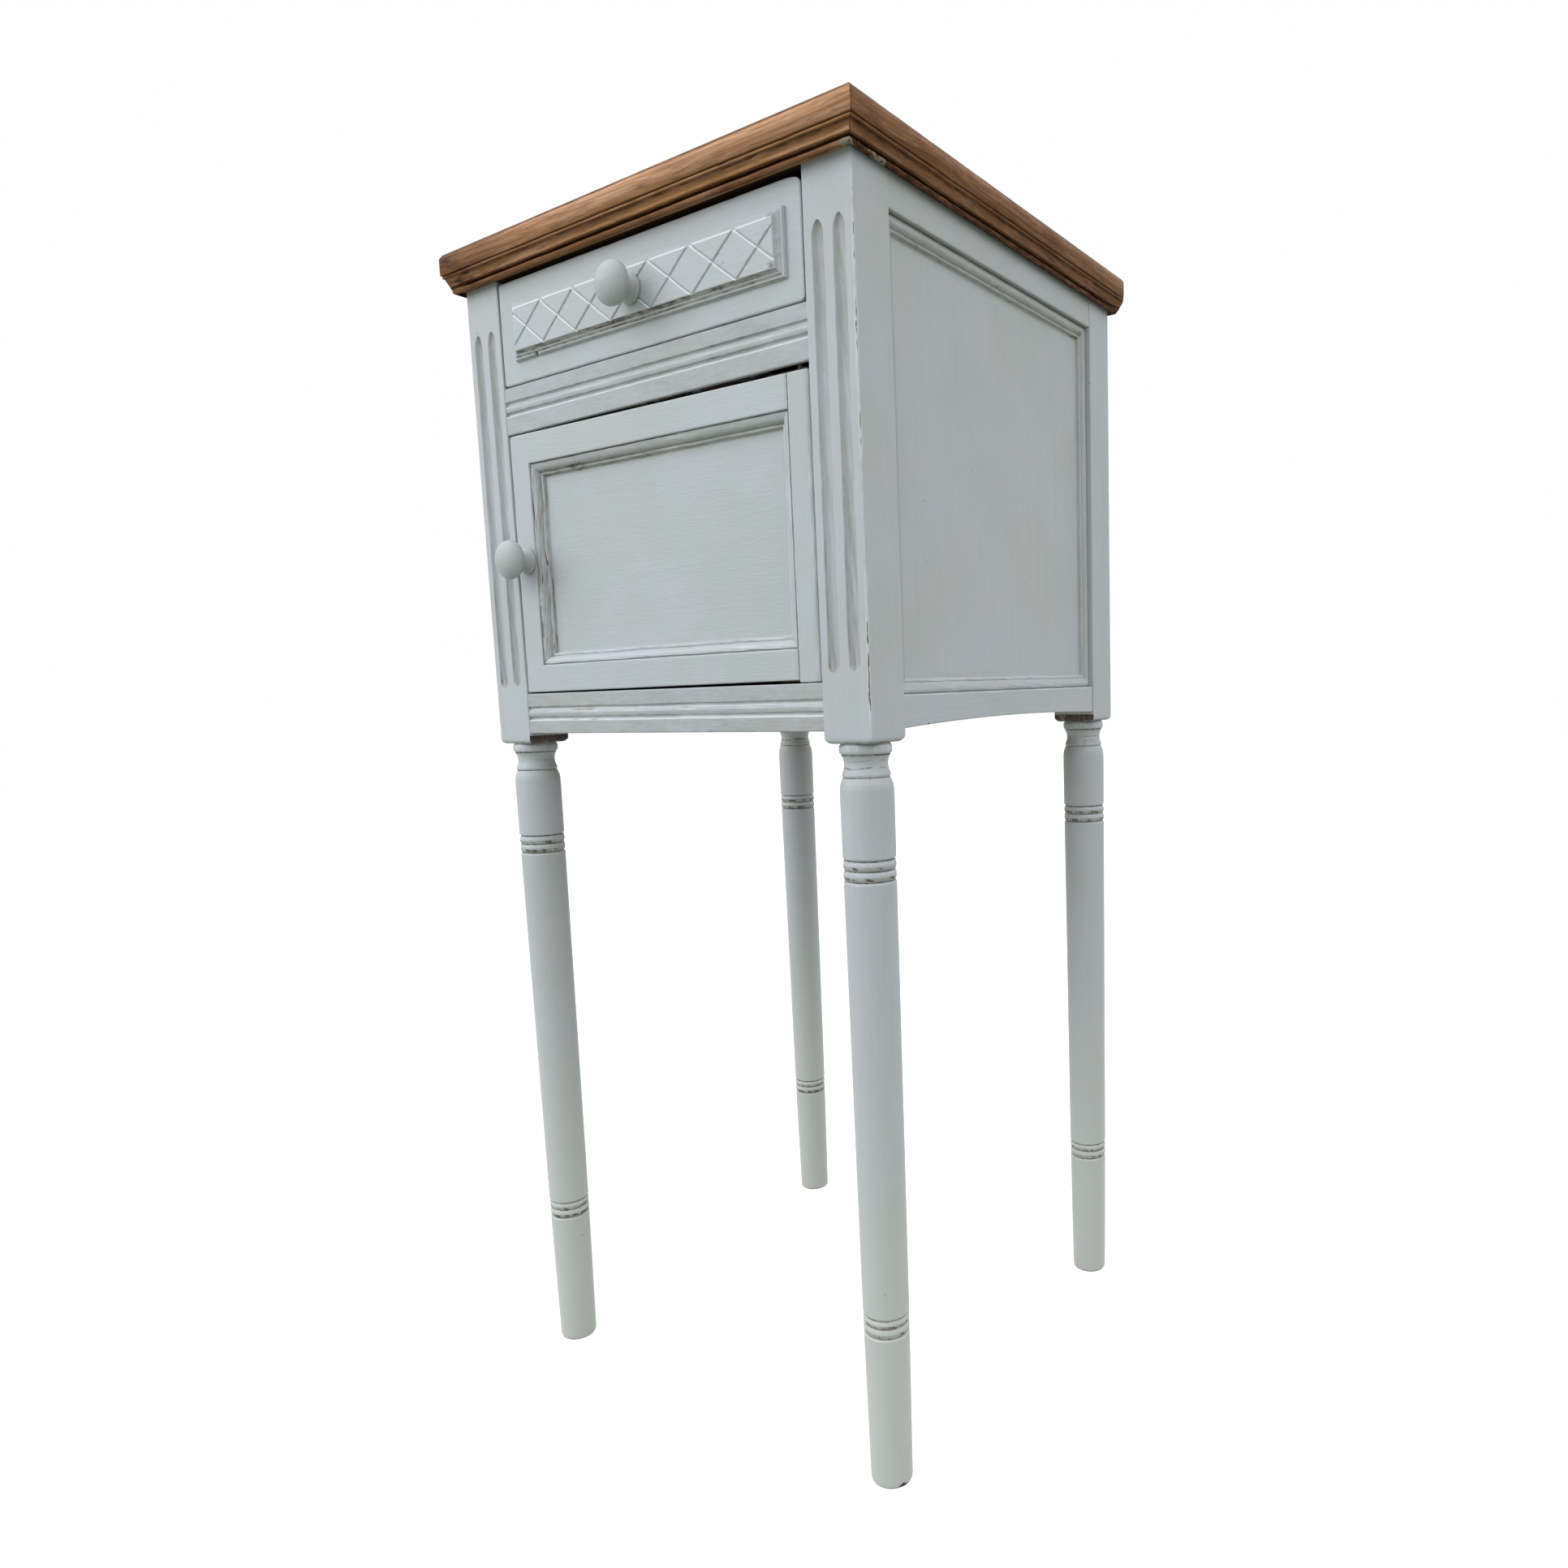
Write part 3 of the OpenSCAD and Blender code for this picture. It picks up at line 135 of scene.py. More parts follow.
class CabinetFinish(bpy.types.PropertyGroup):
    """Colours and wear of the finishes."""

    paint: FloatVectorProperty(
        name="Paint", description="Chalky grey-blue paint", subtype="COLOR",
        default=srgb(180, 186, 191))
    paint_warm: FloatVectorProperty(
        name="Yellowed paint", description="Where the paint has yellowed", subtype="COLOR",
        default=srgb(177, 183, 183))
    # Olive film: dirt in the hollows, and painted shade on faces that are turned down or lie deep
    grime_and_shade: FloatVectorProperty(
        name="Grime and shade", description="Olive grey dirt that lies in the hollows", subtype="COLOR",
        default=srgb(114, 112, 96))
    # Dark lines in corners and quirks: dirt and painted shade
    crust_and_shade: FloatVectorProperty(
        name="Crust and shade", description="Dark brown lines in the corners", subtype="COLOR",
        default=srgb(60, 50, 38))
    bare: FloatVectorProperty(
        name="Worn through", description="Wood where the paint is gone", subtype="COLOR",
        default=srgb(134, 122, 98))
    oak: FloatVectorProperty(
        name="Oak", description="Stripped oak of the top", subtype="COLOR",
        default=srgb(200, 153, 115))
    oak_dark: FloatVectorProperty(
        name="Oak grain", description="Dark grain of the oak", subtype="COLOR",
        default=srgb(140, 96, 64))
    # Laid on where dirt and shading is highest: old stain in the grooves, and painted shade under
    # the mouldings
    oak_groove: FloatVectorProperty(
        name="Oak groove", description="Old stain left in the mouldings", subtype="COLOR",
        default=srgb(58, 34, 18))
    inside: FloatVectorProperty(
        name="Inner wood", description="Bare boards inside the cabinet", subtype="COLOR",
        default=srgb(168, 132, 92))
    wear: FloatProperty(
        name="Wear", description="How much of the edges is worn through", default=0.25,
        min=0, max=1, subtype="FACTOR")
    # How strongly the olive film lies on: dirt in the hollows, and painted shade
    dirt_and_shading: FloatProperty(
        name="Dirt and shading", description="How strongly the hollows are soiled", default=0.75,
        min=0, max=1, subtype="FACTOR")


def shape():
    """The sizes that are set in the sidebar."""
    return bpy.context.scene.cabinet_shape


def finish():
    """The colours and amounts that are set in the sidebar."""
    return bpy.context.scene.cabinet_finish


# Noise

def noise(t, seed, step, period=None):
    """Smooth seeded curve over t from -1 to 1: a random value at every step, joined by half
    cosines. With a period, in steps, it comes round to where it began."""
    values = np.random.default_rng(seed).uniform(-1, 1, period or 4096)
    place = np.asarray(t, float) / step
    low = np.floor(place).astype(int)
    part = (1 - np.cos(np.pi * (place - low))) / 2
    return values[low % len(values)] * (1 - part) + values[(low + 1) % len(values)] * part


def ragged(t, seed, step):
    """Sum of three noises over t, each with half the step and half the height of the last."""
    return sum(noise(t, seed + k, step / 2 ** k) / 2 ** k for k in range(3)) / 1.75


def band(x, middle, width, power=2):
    """1 at the middle and fading to 0 on both sides: exp(-((x - middle) / width)^power)."""
    return np.exp(-((x - middle) / width) ** power)


# Outlines: arrays of u, v, wear, and dirt and shading, one column for each point of a closed line

def outline(corners, near=0.5, far=2.2):
    """Closed outline from corners (u, v, r, wear, dirt and shading). A corner with r is rounded by
    the parabola between the points r from it; one without is kept as it is. Long straight
    stretches get points near and far from their ends, where wear and dirt and shading have faded."""
    points = []
    count = len(corners)
    for i, (u, v, r, wear, dirt_and_shading) in enumerate(corners):
        p = np.array((u, v), float)
        if r == 0:
            points.append((u, v, wear, dirt_and_shading))
            continue
        ends = [p + r * (q - p) / np.linalg.norm(q - p)
                for q in (np.array(corners[i - 1][:2]), np.array(corners[(i + 1) % count][:2]))]
        for s in (0, 0.25, 0.5, 0.75, 1):
            q = (1 - s) ** 2 * ends[0] + 2 * s * (1 - s) * p + s * s * ends[1]
            points.append((*q, wear * (1 - abs(s - 0.5) * 0.6), dirt_and_shading))
    full = []
    for a, b in zip(points, points[1:] + points[:1]):
        a, b = np.array(a), np.array(b)
        length = np.linalg.norm(b[:2] - a[:2])
        full.append(a)
        for gap, keep, end in ((near, 0.4, a), (far, 0, a), (far, 0, b), (near, 0.4, b)):
            if length > 3 * gap:
                s = gap / length if end is a else 1 - gap / length
                full.append(np.array([*(a + s * (b - a))[:2], *(end[2:] * keep)]))
    return np.array(full).T


def arc(u, v, ru, rv, start, stop, count, wear=(0, 0), dirt_and_shading=(0, 0)):
    """Corners along an ellipse round (u, v), its angles in degrees; wear and dirt and shading run
    evenly.
    """
    turn = np.radians(np.linspace(start, stop, count))
    return [(u + ru * math.cos(a), v + rv * math.sin(a), 0, w, d) for a, w, d in
            zip(turn, np.linspace(*wear, count), np.linspace(*dirt_and_shading, count))]


def rect(low_u, high_u, low_v, high_v, r, wear=0.5, dirt_and_shading=0.0):
    """Rounded rectangle; r, wear, and dirt and shading are one number, or one for each corner in
    the order low low, high low, high high, low high."""
    r, wear, dirt_and_shading = (np.broadcast_to(value, 4) for value in (r, wear, dirt_and_shading))
    spots = [(low_u, low_v), (high_u, low_v), (high_u, high_v), (low_u, high_v)]
    return outline([(*spots[i], r[i], wear[i], dirt_and_shading[i]) for i in range(4)])


def inward(u, v):
    """Unit normals of a closed outline that point into it, from each point's two neighbours."""
    du, dv = np.roll(u, -1) - np.roll(u, 1), np.roll(v, -1) - np.roll(v, 1)
    side = np.sign(np.sum(u * np.roll(v, -1) - v * np.roll(u, -1)))
    length = np.maximum(np.hypot(du, dv), 1e-9)
    return -dv * side / length, du * side / length


class Skin:
    """Closed surfaces in millimetres, gathered into one mesh with wear, grain, and dirt and
    shading: dirt and painted shade above 0, painted highlights below 0.
    """

    def __init__(self):
        self.points, self.wear, self.dirt_and_shading, self.grain, self.faces = [], [], [], [], []
        self.count = 0

    def tube(self, rings, wear, dirt_and_shading, grain, seed=0):
        """Joins rows of closed rings by four-sided faces and closes both ends flat. The faces
        are turned outwards by the sign of the volume that they enclose. The grain runs along
        the axis that grain names, shifted by the seed so that no two boards are alike."""
        rows, cols = rings.shape[:2]
        flat = rings.reshape(-1, 3)
        index = np.arange(rows * cols).reshape(rows, cols)
        here, there = index[:-1], index[1:]
        quads = np.stack([here, np.roll(here, -1, 1), np.roll(there, -1, 1), there], -1)
        quads = quads.reshape(-1, 4)
        middle = flat.mean(0)
        a, b, c, d = (flat[quads[:, i]] - middle for i in range(4))
        volume = np.sum(a * np.cross(b, c)) + np.sum(a * np.cross(c, d))
        ends = [index[0][::-1], index[-1]]
        for end in ends:
            ring = flat[end] - middle
            volume += np.sum(ring[0] * np.cross(ring[1:-1], ring[2:]))
        turn = 1 if volume > 0 else -1
        self.faces += (quads[:, ::turn] + self.count).tolist()
        self.faces += [(end[::turn] + self.count).tolist() for end in ends]
        order = ["xyz".index(grain), ("xyz".index(grain) + 1) % 3, ("xyz".index(grain) + 2) % 3]
        shift = np.array([0.37, 0.91, 0.53]) * seed % 3
        self.points.append(flat * MM)
        self.grain.append(flat[:, order] * MM + shift)
        self.wear.append(np.broadcast_to(wear, (rows, cols)).ravel())
        self.dirt_and_shading.append(np.broadcast_to(dirt_and_shading, (rows, cols)).ravel())
        self.count += rows * cols

    def build(self, name, node, body="carcass", slot="painted_wood"):
        """The finished piece, which stands for the node and rides on its body."""
        mesh = bpy.data.meshes.new(name)
        mesh.from_pydata(np.concatenate(self.points).tolist(), [], self.faces)
        for key in ("wear", "dirt_and_shading"):
            values = np.concatenate(getattr(self, key)).astype(np.float32)
            mesh.attributes.new(key, "FLOAT", "POINT").data.foreach_set("value", values)
        values = np.concatenate(self.grain).astype(np.float32).ravel()
        mesh.attributes.new("grain", "FLOAT_VECTOR", "POINT").data.foreach_set("vector", values)
        mesh.shade_smooth()
        mesh.set_sharp_from_angle(angle=SHARP_ANGLE)
        makers = {"painted_wood": painted_wood, "stripped_oak": stripped_oak}
        mesh.materials.append(makers[slot]())
        mesh.update()
        piece = bpy.data.objects.new(name, mesh)
        bpy.context.scene.collection.objects.link(piece)
        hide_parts(node)
        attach(piece, body)


def bar(skin, section, place, span, mitre=(0, 0), end=0.0, end_dirt=0.0, fray=None, step=2.5,
        grain="x", seed=0, carve=None, warp=None, near=()):
    """Carries a section along a straight line.

    place is (origin, along, out, up): a point is origin + t along + u out + v up. The ends of
    the span move by mitre times u, which cuts them at a slant. Over the last end millimetres
    the section draws in along a quarter circle. Worn edges are nicked by
    fray * wear * ragged noise. carve changes (t, u, v, wear, dirt and shading) and warp the points.
    near are further rows, by their distance from either end."""
    fray = shape().fray / MM if fray is None else fray
    u, v, wear, dirt_and_shading = section
    turn = np.radians([20, 45, 70, 90])
    lead = end * (1 - np.cos(turn)) if end else np.array([0.0])
    inset = end * (1 - np.sin(turn)) if end else np.array([0.0])
    length = span[1] - span[0]
    body = np.linspace(end + 0.5, length - end - 0.5, max(int(length / step), 2))
    near = np.array(near, float)
    body = np.unique(np.concatenate([near, body, length - near]))
    count = len(body)
    t = np.concatenate([lead, body, (length - lead)[::-1]])[:, None]
    inset = np.concatenate([inset, np.zeros(count), inset[::-1]])[:, None]
    rim = np.zeros_like(t)
    rim[:len(lead)] = rim[-len(lead):] = 1.0 if end else 0.0
    nu, nv = inward(u, v)
    bite = fray * wear * np.clip(ragged(t + 0.9 * u + 1.3 * v, seed, 9.0), 0, 1)
    u, v = u + nu * (inset + bite), v + nv * (inset + bite)
    wear = np.maximum(wear + 0 * t, rim * wear.max() * 0.8)
    dirt_and_shading = np.where(rim * end_dirt > 0, np.maximum(dirt_and_shading, rim * end_dirt), dirt_and_shading)
    t = span[0] + t + 0 * u
    if carve:
        t, u, v, wear, dirt_and_shading = carve(t, u, v, wear, dirt_and_shading)
    share = (t - span[0]) / length
    t = t + u * (mitre[0] * (1 - share) + mitre[1] * share)
    origin, along, out, up = place
    points = origin + t[..., None] * along + u[..., None] * out + v[..., None] * up
    if warp:
        points = warp(points)
    skin.tube(points, wear, dirt_and_shading, grain, seed)


def board(skin, low, high, grain, r=None, wear=0.5, dirt_and_shading=0.0, **more):
    """Rounded board between two corners, its length along the grain."""
    r = shape().arris / MM if r is None else r
    k = "xyz".index(grain)
    i, j = (k + 1) % 3, (k + 2) % 3
    axes = np.eye(3)
    section = rect(low[i], high[i], low[j], high[j], r, wear, dirt_and_shading)
    more.setdefault("end", 0.6 * np.min(r) if np.min(r) else 0)
    bar(skin, section, (np.zeros(3), axes[k], axes[i], axes[j]), (low[k], high[k]),
        grain=grain, **more)


def rounded_corners(p, q, low, high, r):
    """Coordinates p and q brought inside the rectangle from low to high with corners rounded
    by r: what lies past a corner's circle moves to it, towards its centre."""
    near = [np.clip(c, low[k] + r, high[k] - r) for k, c in enumerate((p, q))]
    away = [p - near[0], q - near[1]]
    length = np.hypot(*away)
    share = np.where(length > r, r / np.maximum(length, 1e-9), 1)
    return near[0] + away[0] * share, near[1] + away[1] * share


def turned(skin, along, radius, wear, dirt_and_shading, place, grain, seed=0, segments=72, fray=0.25,
           smear=None):
    """Turned shape: a circle of the given radius at each distance along the axis. place is
    (origin, along, side, up). Worn rings are nicked by fray * wear * noise round them. smear
    changes (along, angle, wear, dirt and shading)."""
    angle = np.linspace(0, 2 * np.pi, segments, endpoint=False)
    along, radius, wear, dirt_and_shading = (np.asarray(a, float)[:, None] for a in (along, radius, wear, dirt_and_shading))
    if smear:
        wear, dirt_and_shading = smear(along + 0 * angle, angle + 0 * along, wear + 0 * angle, dirt_and_shading + 0 * angle)
    around = np.clip(noise(angle / (2 * np.pi) * 24 + along * 0, seed, 1, 24)
                     + noise(along + 0 * angle, seed + 1, 1.5), 0, 1)
    radius = radius * (1 + 0.004 * noise(angle / (2 * np.pi) * 5, seed + 2, 1, 5))
    radius = radius - fray * wear * around
    origin, axis, side, up = place
    points = (origin + (along + 0 * angle)[..., None] * axis
              + (radius * np.cos(angle))[..., None] * side
              + (radius * np.sin(angle))[..., None] * up)
    skin.tube(points, wear, dirt_and_shading, grain, seed)


def smooth_curve(points, count):
    """Curve through points, as rows: a cubic between each two whose slopes are half the chord
    between their neighbours."""
    points = np.asarray(points, float)
    before = np.vstack([points[:1], points[:-1]])
    after = np.vstack([points[1:], points[-1:]])
    slope = (after - before) / 2
    s = np.linspace(0, len(points) - 1, count)
    i = np.minimum(s.astype(int), len(points) - 2)
    f = (s - i)[:, None]
    return ((2 * f ** 3 - 3 * f ** 2 + 1) * points[i] + (f ** 3 - 2 * f ** 2 + f) * slope[i]
            + (3 * f ** 2 - 2 * f ** 3) * points[i + 1] + (f ** 3 - f ** 2) * slope[i + 1])


# Shader nodes

def feed(tree, node, sockets):
    """Gives each socket that is named its value, or a link from another node's output."""
    for key, value in sockets.items():
        if isinstance(value, bpy.types.NodeSocket):
            tree.links.new(value, node.inputs[key])
        else:
            node.inputs[key].default_value = value
    return node


def add(tree, kind, sockets=None, **settings):
    """A shader node with its settings, fed with values and links."""
    node = tree.nodes.new("ShaderNode" + kind)
    for key, value in settings.items():
        setattr(node, key, value)
    return feed(tree, node, sockets or {})


def calc(tree, operation, a, b=0.0, c=0.0):
    """Result of a Math node."""
    return add(tree, "Math", {0: a, 1: b, 2: c}, operation=operation).outputs[0]


def ease(tree, value, low, high, to_low=0.0, to_high=1.0):
    """Smooth step from to_low to to_high while value goes from low to high."""
    return add(tree, "MapRange", {"Value": value, "From Min": low, "From Max": high,
                                  "To Min": to_low, "To Max": to_high},
               interpolation_type="SMOOTHSTEP").outputs["Result"]


def mix(tree, factor, a, b):
    """Colour a with b laid over it; plain colours are given as three numbers."""
    a, b = (c if isinstance(c, bpy.types.NodeSocket) else (*c, 1.0) for c in (a, b))
    return add(tree, "Mix", {0: factor, 6: a, 7: b}, data_type="RGBA").outputs[2]


def coats(tree, base, layers):
    """The base colour with others laid over it in turn, each a mask and a colour."""
    for mask, colour in layers:
        base = mix(tree, mask, base, colour)
    return base


def stretched(tree, vector, along, across):
    """The vector with its first axis scaled by along and the other two by across."""
    return add(tree, "Mapping", {"Vector": vector, "Scale": (along, across, across)},
               vector_type="POINT").outputs[0]


def cloud(tree, vector, scale, detail=2.0, rough=0.5):
    """Cloudy noise from 0 to 1."""
    return add(tree, "TexNoise", {"Vector": vector, "Scale": scale, "Detail": detail,
                                  "Roughness": rough}).outputs["Fac"]


def new_group(name, inputs, outputs):
    """Empty node group with its sockets: returns the tree, its input node and output node."""
    tree = bpy.data.node_groups.new(name, "ShaderNodeTree")
    for label, kind, value in inputs:
        socket = tree.interface.new_socket(label, in_out="INPUT", socket_type=kind)
        if value is not None:
            socket.default_value = value
    for label in outputs:
        tree.interface.new_socket(label, in_out="OUTPUT", socket_type="NodeSocketFloat")
    return tree, tree.nodes.new("NodeGroupInput"), tree.nodes.new("NodeGroupOutput")


def grain_group():
    """Wood grain: long streaks, short pores and broad figure along the vector's first axis."""
    tree, given, made = new_group(
        "wood_grain",
        [("Vector", "NodeSocketVector", None), ("Streak scale", "NodeSocketFloat", 600.0),
         ("Pore scale", "NodeSocketFloat", 1700.0), ("Figure scale", "NodeSocketFloat", 70.0)],
        ["Streak", "Pore", "Figure"])
    vector = given.outputs["Vector"]
    sway = cloud(tree, stretched(tree, vector, 7.0, 22.0), 1.0, 1.0)
    sway = calc(tree, "MULTIPLY_ADD", sway, 0.022, -0.011)
    parts = add(tree, "SeparateXYZ", {"Vector": vector}).outputs
    vector = add(tree, "CombineXYZ", {"X": parts[0], "Y": calc(tree, "ADD", parts[1], sway),
                                      "Z": calc(tree, "ADD", parts[2], sway)}).outputs[0]

    def layer(scale, ratio, detail):
        """Noise stretched along the grain, finer across it by 1 / ratio."""
        size = given.outputs[scale]
        scaled = add(tree, "VectorMath", {0: vector, "Scale": size}, operation="SCALE").outputs[0]
        return cloud(tree, stretched(tree, scaled, ratio, 1.0), 1.0, detail)

    figure = calc(tree, "MULTIPLY", layer("Figure scale", 0.05, 1.0), 7.0)
    figure = calc(tree, "PINGPONG", figure, 0.5)
    feed(tree, made, {"Streak": layer("Streak scale", 0.014, 2.0),
                      "Pore": ease(tree, layer("Pore scale", 0.03, 1.0), 0.57, 0.70),
                      "Figure": calc(tree, "MULTIPLY", figure, 2.0)})
    return tree


def wear_group():
    """Edge wear: the worn mask is 1 where the wear value, broken up by noise, passes the
    amount; the rubbed mask begins well before that."""
    tree, given, made = new_group(
        "edge_wear",
        [("Wear", "NodeSocketFloat", 0.0), ("Vector", "NodeSocketVector", None),
         ("Amount", "NodeSocketFloat", 0.25), ("Spread", "NodeSocketFloat", 0.9)],
        ["Worn", "Rubbed"])
    long = cloud(tree, stretched(tree, given.outputs["Vector"], 70.0, 420.0), 1.0, 4.0, 0.65)
    broad = cloud(tree, given.outputs["Vector"], 26.0, 2.0)
    broken = calc(tree, "MULTIPLY_ADD", long, 0.7, calc(tree, "MULTIPLY", broad, 0.5))
    spread = calc(tree, "MULTIPLY", calc(tree, "SUBTRACT", broken, 0.6), given.outputs["Spread"])
    level = calc(tree, "MULTIPLY_ADD", spread, 2.0, given.outputs["Wear"])
    level = calc(tree, "ADD", level, given.outputs["Amount"])
    feed(tree, made, {"Worn": ease(tree, level, 1.14, 1.26),
                      "Rubbed": ease(tree, level, 0.50, 1.15)})
    return tree


def grime_and_shade_group():
    """Dirt and painted shade in the hollows: a film as strong as the dirt and shading value,
    thinned and thickened by two sizes of noise, and a dark line where the value comes near 1."""
    tree, given, made = new_group(
        "grime_and_shade",
        [("Dirt and shading", "NodeSocketFloat", 0.0), ("Vector", "NodeSocketVector", None),
         ("Amount", "NodeSocketFloat", 0.7)],
        ["Film", "Line"])
    fine = cloud(tree, stretched(tree, given.outputs["Vector"], 120.0, 400.0), 1.0, 3.0)
    broad = cloud(tree, given.outputs["Vector"], 18.0, 2.0)
    uneven = calc(tree, "ADD", fine, broad)
    dirt_and_shading = given.outputs["Dirt and shading"]
    film = calc(tree, "MULTIPLY", dirt_and_shading, calc(tree, "MULTIPLY_ADD", uneven, 1.6, -0.6))
    film = calc(tree, "MULTIPLY", film, given.outputs["Amount"])
    level = calc(tree, "MULTIPLY_ADD", calc(tree, "SUBTRACT", uneven, 1.0), 0.9, dirt_and_shading)
    feed(tree, made, {"Film": calc(tree, "MINIMUM", film, 1.0),
                      "Line": ease(tree, level, 0.72, 1.0)})
    return tree


def group_node(tree, name, sockets):
    """Outputs of a node that places a group, which is made the first time it is asked for."""
    makers = {"wood_grain": grain_group, "edge_wear": wear_group, "grime_and_shade": grime_and_shade_group}
    group = bpy.data.node_groups.get(name) or makers[name]()
    return add(tree, "Group", sockets, node_tree=group).outputs


def grain_node(tree, vector, streak, pore, figure):
    """Wood grain along the vector's first axis, its three patterns at their own scales."""
    return group_node(tree, "wood_grain", {"Vector": vector, "Streak scale": streak,
                                           "Pore scale": pore, "Figure scale": figure})


def attribute(tree, name, output="Fac"):
    """An attribute of the surface, as a number or as a vector."""
    return add(tree, "Attribute", attribute_name=name).outputs[output]


def new_material(name):
    """Empty material with its tree and its main shader."""
    material = bpy.data.materials.new(name)
    material.use_nodes = True
    return material, material.node_tree, material.node_tree.nodes["Principled BSDF"]


def bump(tree, height, strength, distance):
    """Normal of a surface that has the height as its relief."""
    return add(tree, "Bump", {"Height": height, "Strength": strength,
                              "Distance": distance}).outputs["Normal"]


# Lesser tones of the paint, with its painted highlight and its painted light from the floor,
# of the wood under it, and of wood that was never painted, with its painted shadow
BLUSH, BRUSH_MARK, GRAIN_LINE = srgb(186, 184, 187), srgb(212, 218, 222), srgb(150, 156, 152)
RUBBED, PAINTED_HIGHLIGHT, FLOOR_BOUNCE_LIGHT = srgb(220, 224, 226), srgb(232, 235, 236), srgb(196, 200, 195)
BARE_DARK, RAW_LIGHT, RAW_DARK = srgb(104, 90, 70), srgb(78, 58, 46), srgb(40, 30, 24)
SHADOW_PATCH, GREY_SMEAR, SPECK = srgb(20, 17, 14), srgb(118, 118, 106), srgb(112, 96, 76)
# Lesser tones of the oak; its film darkens it where dirt, stain and painted shade are laid on
OAK_BROAD, OAK_PEACH, OAK_PORE = srgb(180, 134, 90), srgb(218, 172, 140), srgb(84, 54, 38)
OAK_RUBBED, OAK_FILM, PAINT_RUN = srgb(216, 172, 134), srgb(96, 62, 42), srgb(140, 138, 120)
# Tones of the hidden boards by their kind, light and low, and of their grain
BOARD_LOW = srgb(140, 104, 70)
PLY_LIGHT = srgb(176, 128, 84)
# Dark tones of the rail in the gap over the drawer: painted shade
SHADOW_WOOD_LIGHT, SHADOW_WOOD_LOW = srgb(60, 43, 28), srgb(42, 30, 20)
BOARD_FIGURE, BOARD_STREAK, BOARD_PORE = srgb(112, 78, 48), srgb(104, 72, 44), srgb(66, 44, 28)


def painted_wood():
    """Chalky, slightly blotched paint over open-grained wood, with painted light from the floor
    that makes it paler towards the feet. Dirt and shading is an olive film, dirt and painted shade,
    that turns to a dark brown line; under 0 it is a painted highlight, near white. Edges first rub
    pale and then show the wood. Where the wear passes UNPAINTED_FROM the wood is dark, with patches
    of painted shadow and grey smears. Rare specks lie about."""
    if "chalk_paint" in bpy.data.materials:
        return bpy.data.materials["chalk_paint"]
    look = finish()
    material, tree, shader = new_material("chalk_paint")
    grain = attribute(tree, "grain", "Vector")
    wear = attribute(tree, "wear")
    wood = grain_node(tree, grain, 420.0, 1300.0, 60.0)
    worn = group_node(tree, "edge_wear", {"Wear": wear, "Vector": grain, "Amount": look.wear})
    dirt_and_shading = attribute(tree, "dirt_and_shading")
    darkening = group_node(tree, "grime_and_shade", {"Dirt and shading": dirt_and_shading, "Vector": grain, "Amount": look.dirt_and_shading})
    brushed = cloud(tree, stretched(tree, grain, 9.0, 260.0), 1.0, 2.0)
    ripples = cloud(tree, stretched(tree, grain, 110.0, 700.0), 1.0, 1.0)
    patches = cloud(tree, grain, 13.0, 3.0)
    blush = cloud(tree, grain, 37.0, 2.0)
    high = add(tree, "SeparateXYZ", {0: add(tree, "TexCoord").outputs["Object"]}).outputs["Z"]
    base = mix(tree, ease(tree, patches, 0.42, 0.60), tuple(look.paint), tuple(look.paint_warm))
    base = coats(tree, base, (
        (ease(tree, blush, 0.46, 0.62, 0.0, 0.35), BLUSH),
        (ease(tree, brushed, 0.42, 0.62, 0.0, 0.05), BRUSH_MARK),
        (ease(tree, wood["Streak"], 0.5, 0.68, 0.0, 0.06), GRAIN_LINE),
        (calc(tree, "MULTIPLY", worn["Rubbed"], 0.6), RUBBED),
        # Painted highlight, near white, where the dirt and shading value is under 0
        (ease(tree, dirt_and_shading, -1.0, 0.0, 1.0, 0.0), PAINTED_HIGHLIGHT),
        # Painted light from the floor: paler towards the feet
        (ease(tree, high, 0.0, 0.40, 1.0, 0.0), FLOOR_BOUNCE_LIGHT),
        # Olive film and dark line: dirt, and painted shade in hollows and on faces turned down
        (darkening["Film"], tuple(look.grime_and_shade)),
        (darkening["Line"], tuple(look.crust_and_shade))))
    streaky = ease(tree, wood["Streak"], 0.42, 0.58)
    raw = coats(tree, mix(tree, streaky, RAW_LIGHT, RAW_DARK), (
        # Black patches: painted shadow on the unpainted wood
        (ease(tree, cloud(tree, grain, 60.0, 3.0), 0.46, 0.56), SHADOW_PATCH),
        (ease(tree, cloud(tree, grain, 95.0, 4.0), 0.56, 0.62), GREY_SMEAR)))
    bare = mix(tree, streaky, tuple(look.bare), BARE_DARK)
    bare = mix(tree, ease(tree, wear, UNPAINTED_FROM, UNPAINTED_FROM + 0.15), bare, raw)
    speck = add(tree, "TexVoronoi", {"Vector": grain, "Scale": 80.0}).outputs
    rare = add(tree, "SeparateColor", {"Color": speck["Color"]}).outputs["Red"]
    rare = calc(tree, "GREATER_THAN", rare, 0.93)
    speck = calc(tree, "MULTIPLY", rare, ease(tree, speck["Distance"], 0.035, 0.07, 0.6, 0.0))
    base = coats(tree, base, ((worn["Worn"], bare), (speck, SPECK)))
    rough = calc(tree, "MULTIPLY_ADD", brushed, 0.16, 0.46)
    rough = calc(tree, "MULTIPLY_ADD", worn["Worn"], 0.15, rough)
    height = calc(tree, "MULTIPLY_ADD", wood["Pore"], -0.2, ripples)
    for pattern, share in ((wood["Streak"], 0.3), (brushed, 0.25), (worn["Worn"], -1.2)):
        height = calc(tree, "MULTIPLY_ADD", pattern, share, height)
    feed(tree, shader, {"Base Color": base, "Roughness": rough,
                        "Normal": bump(tree, height, 0.5, 0.00028)})
    return material


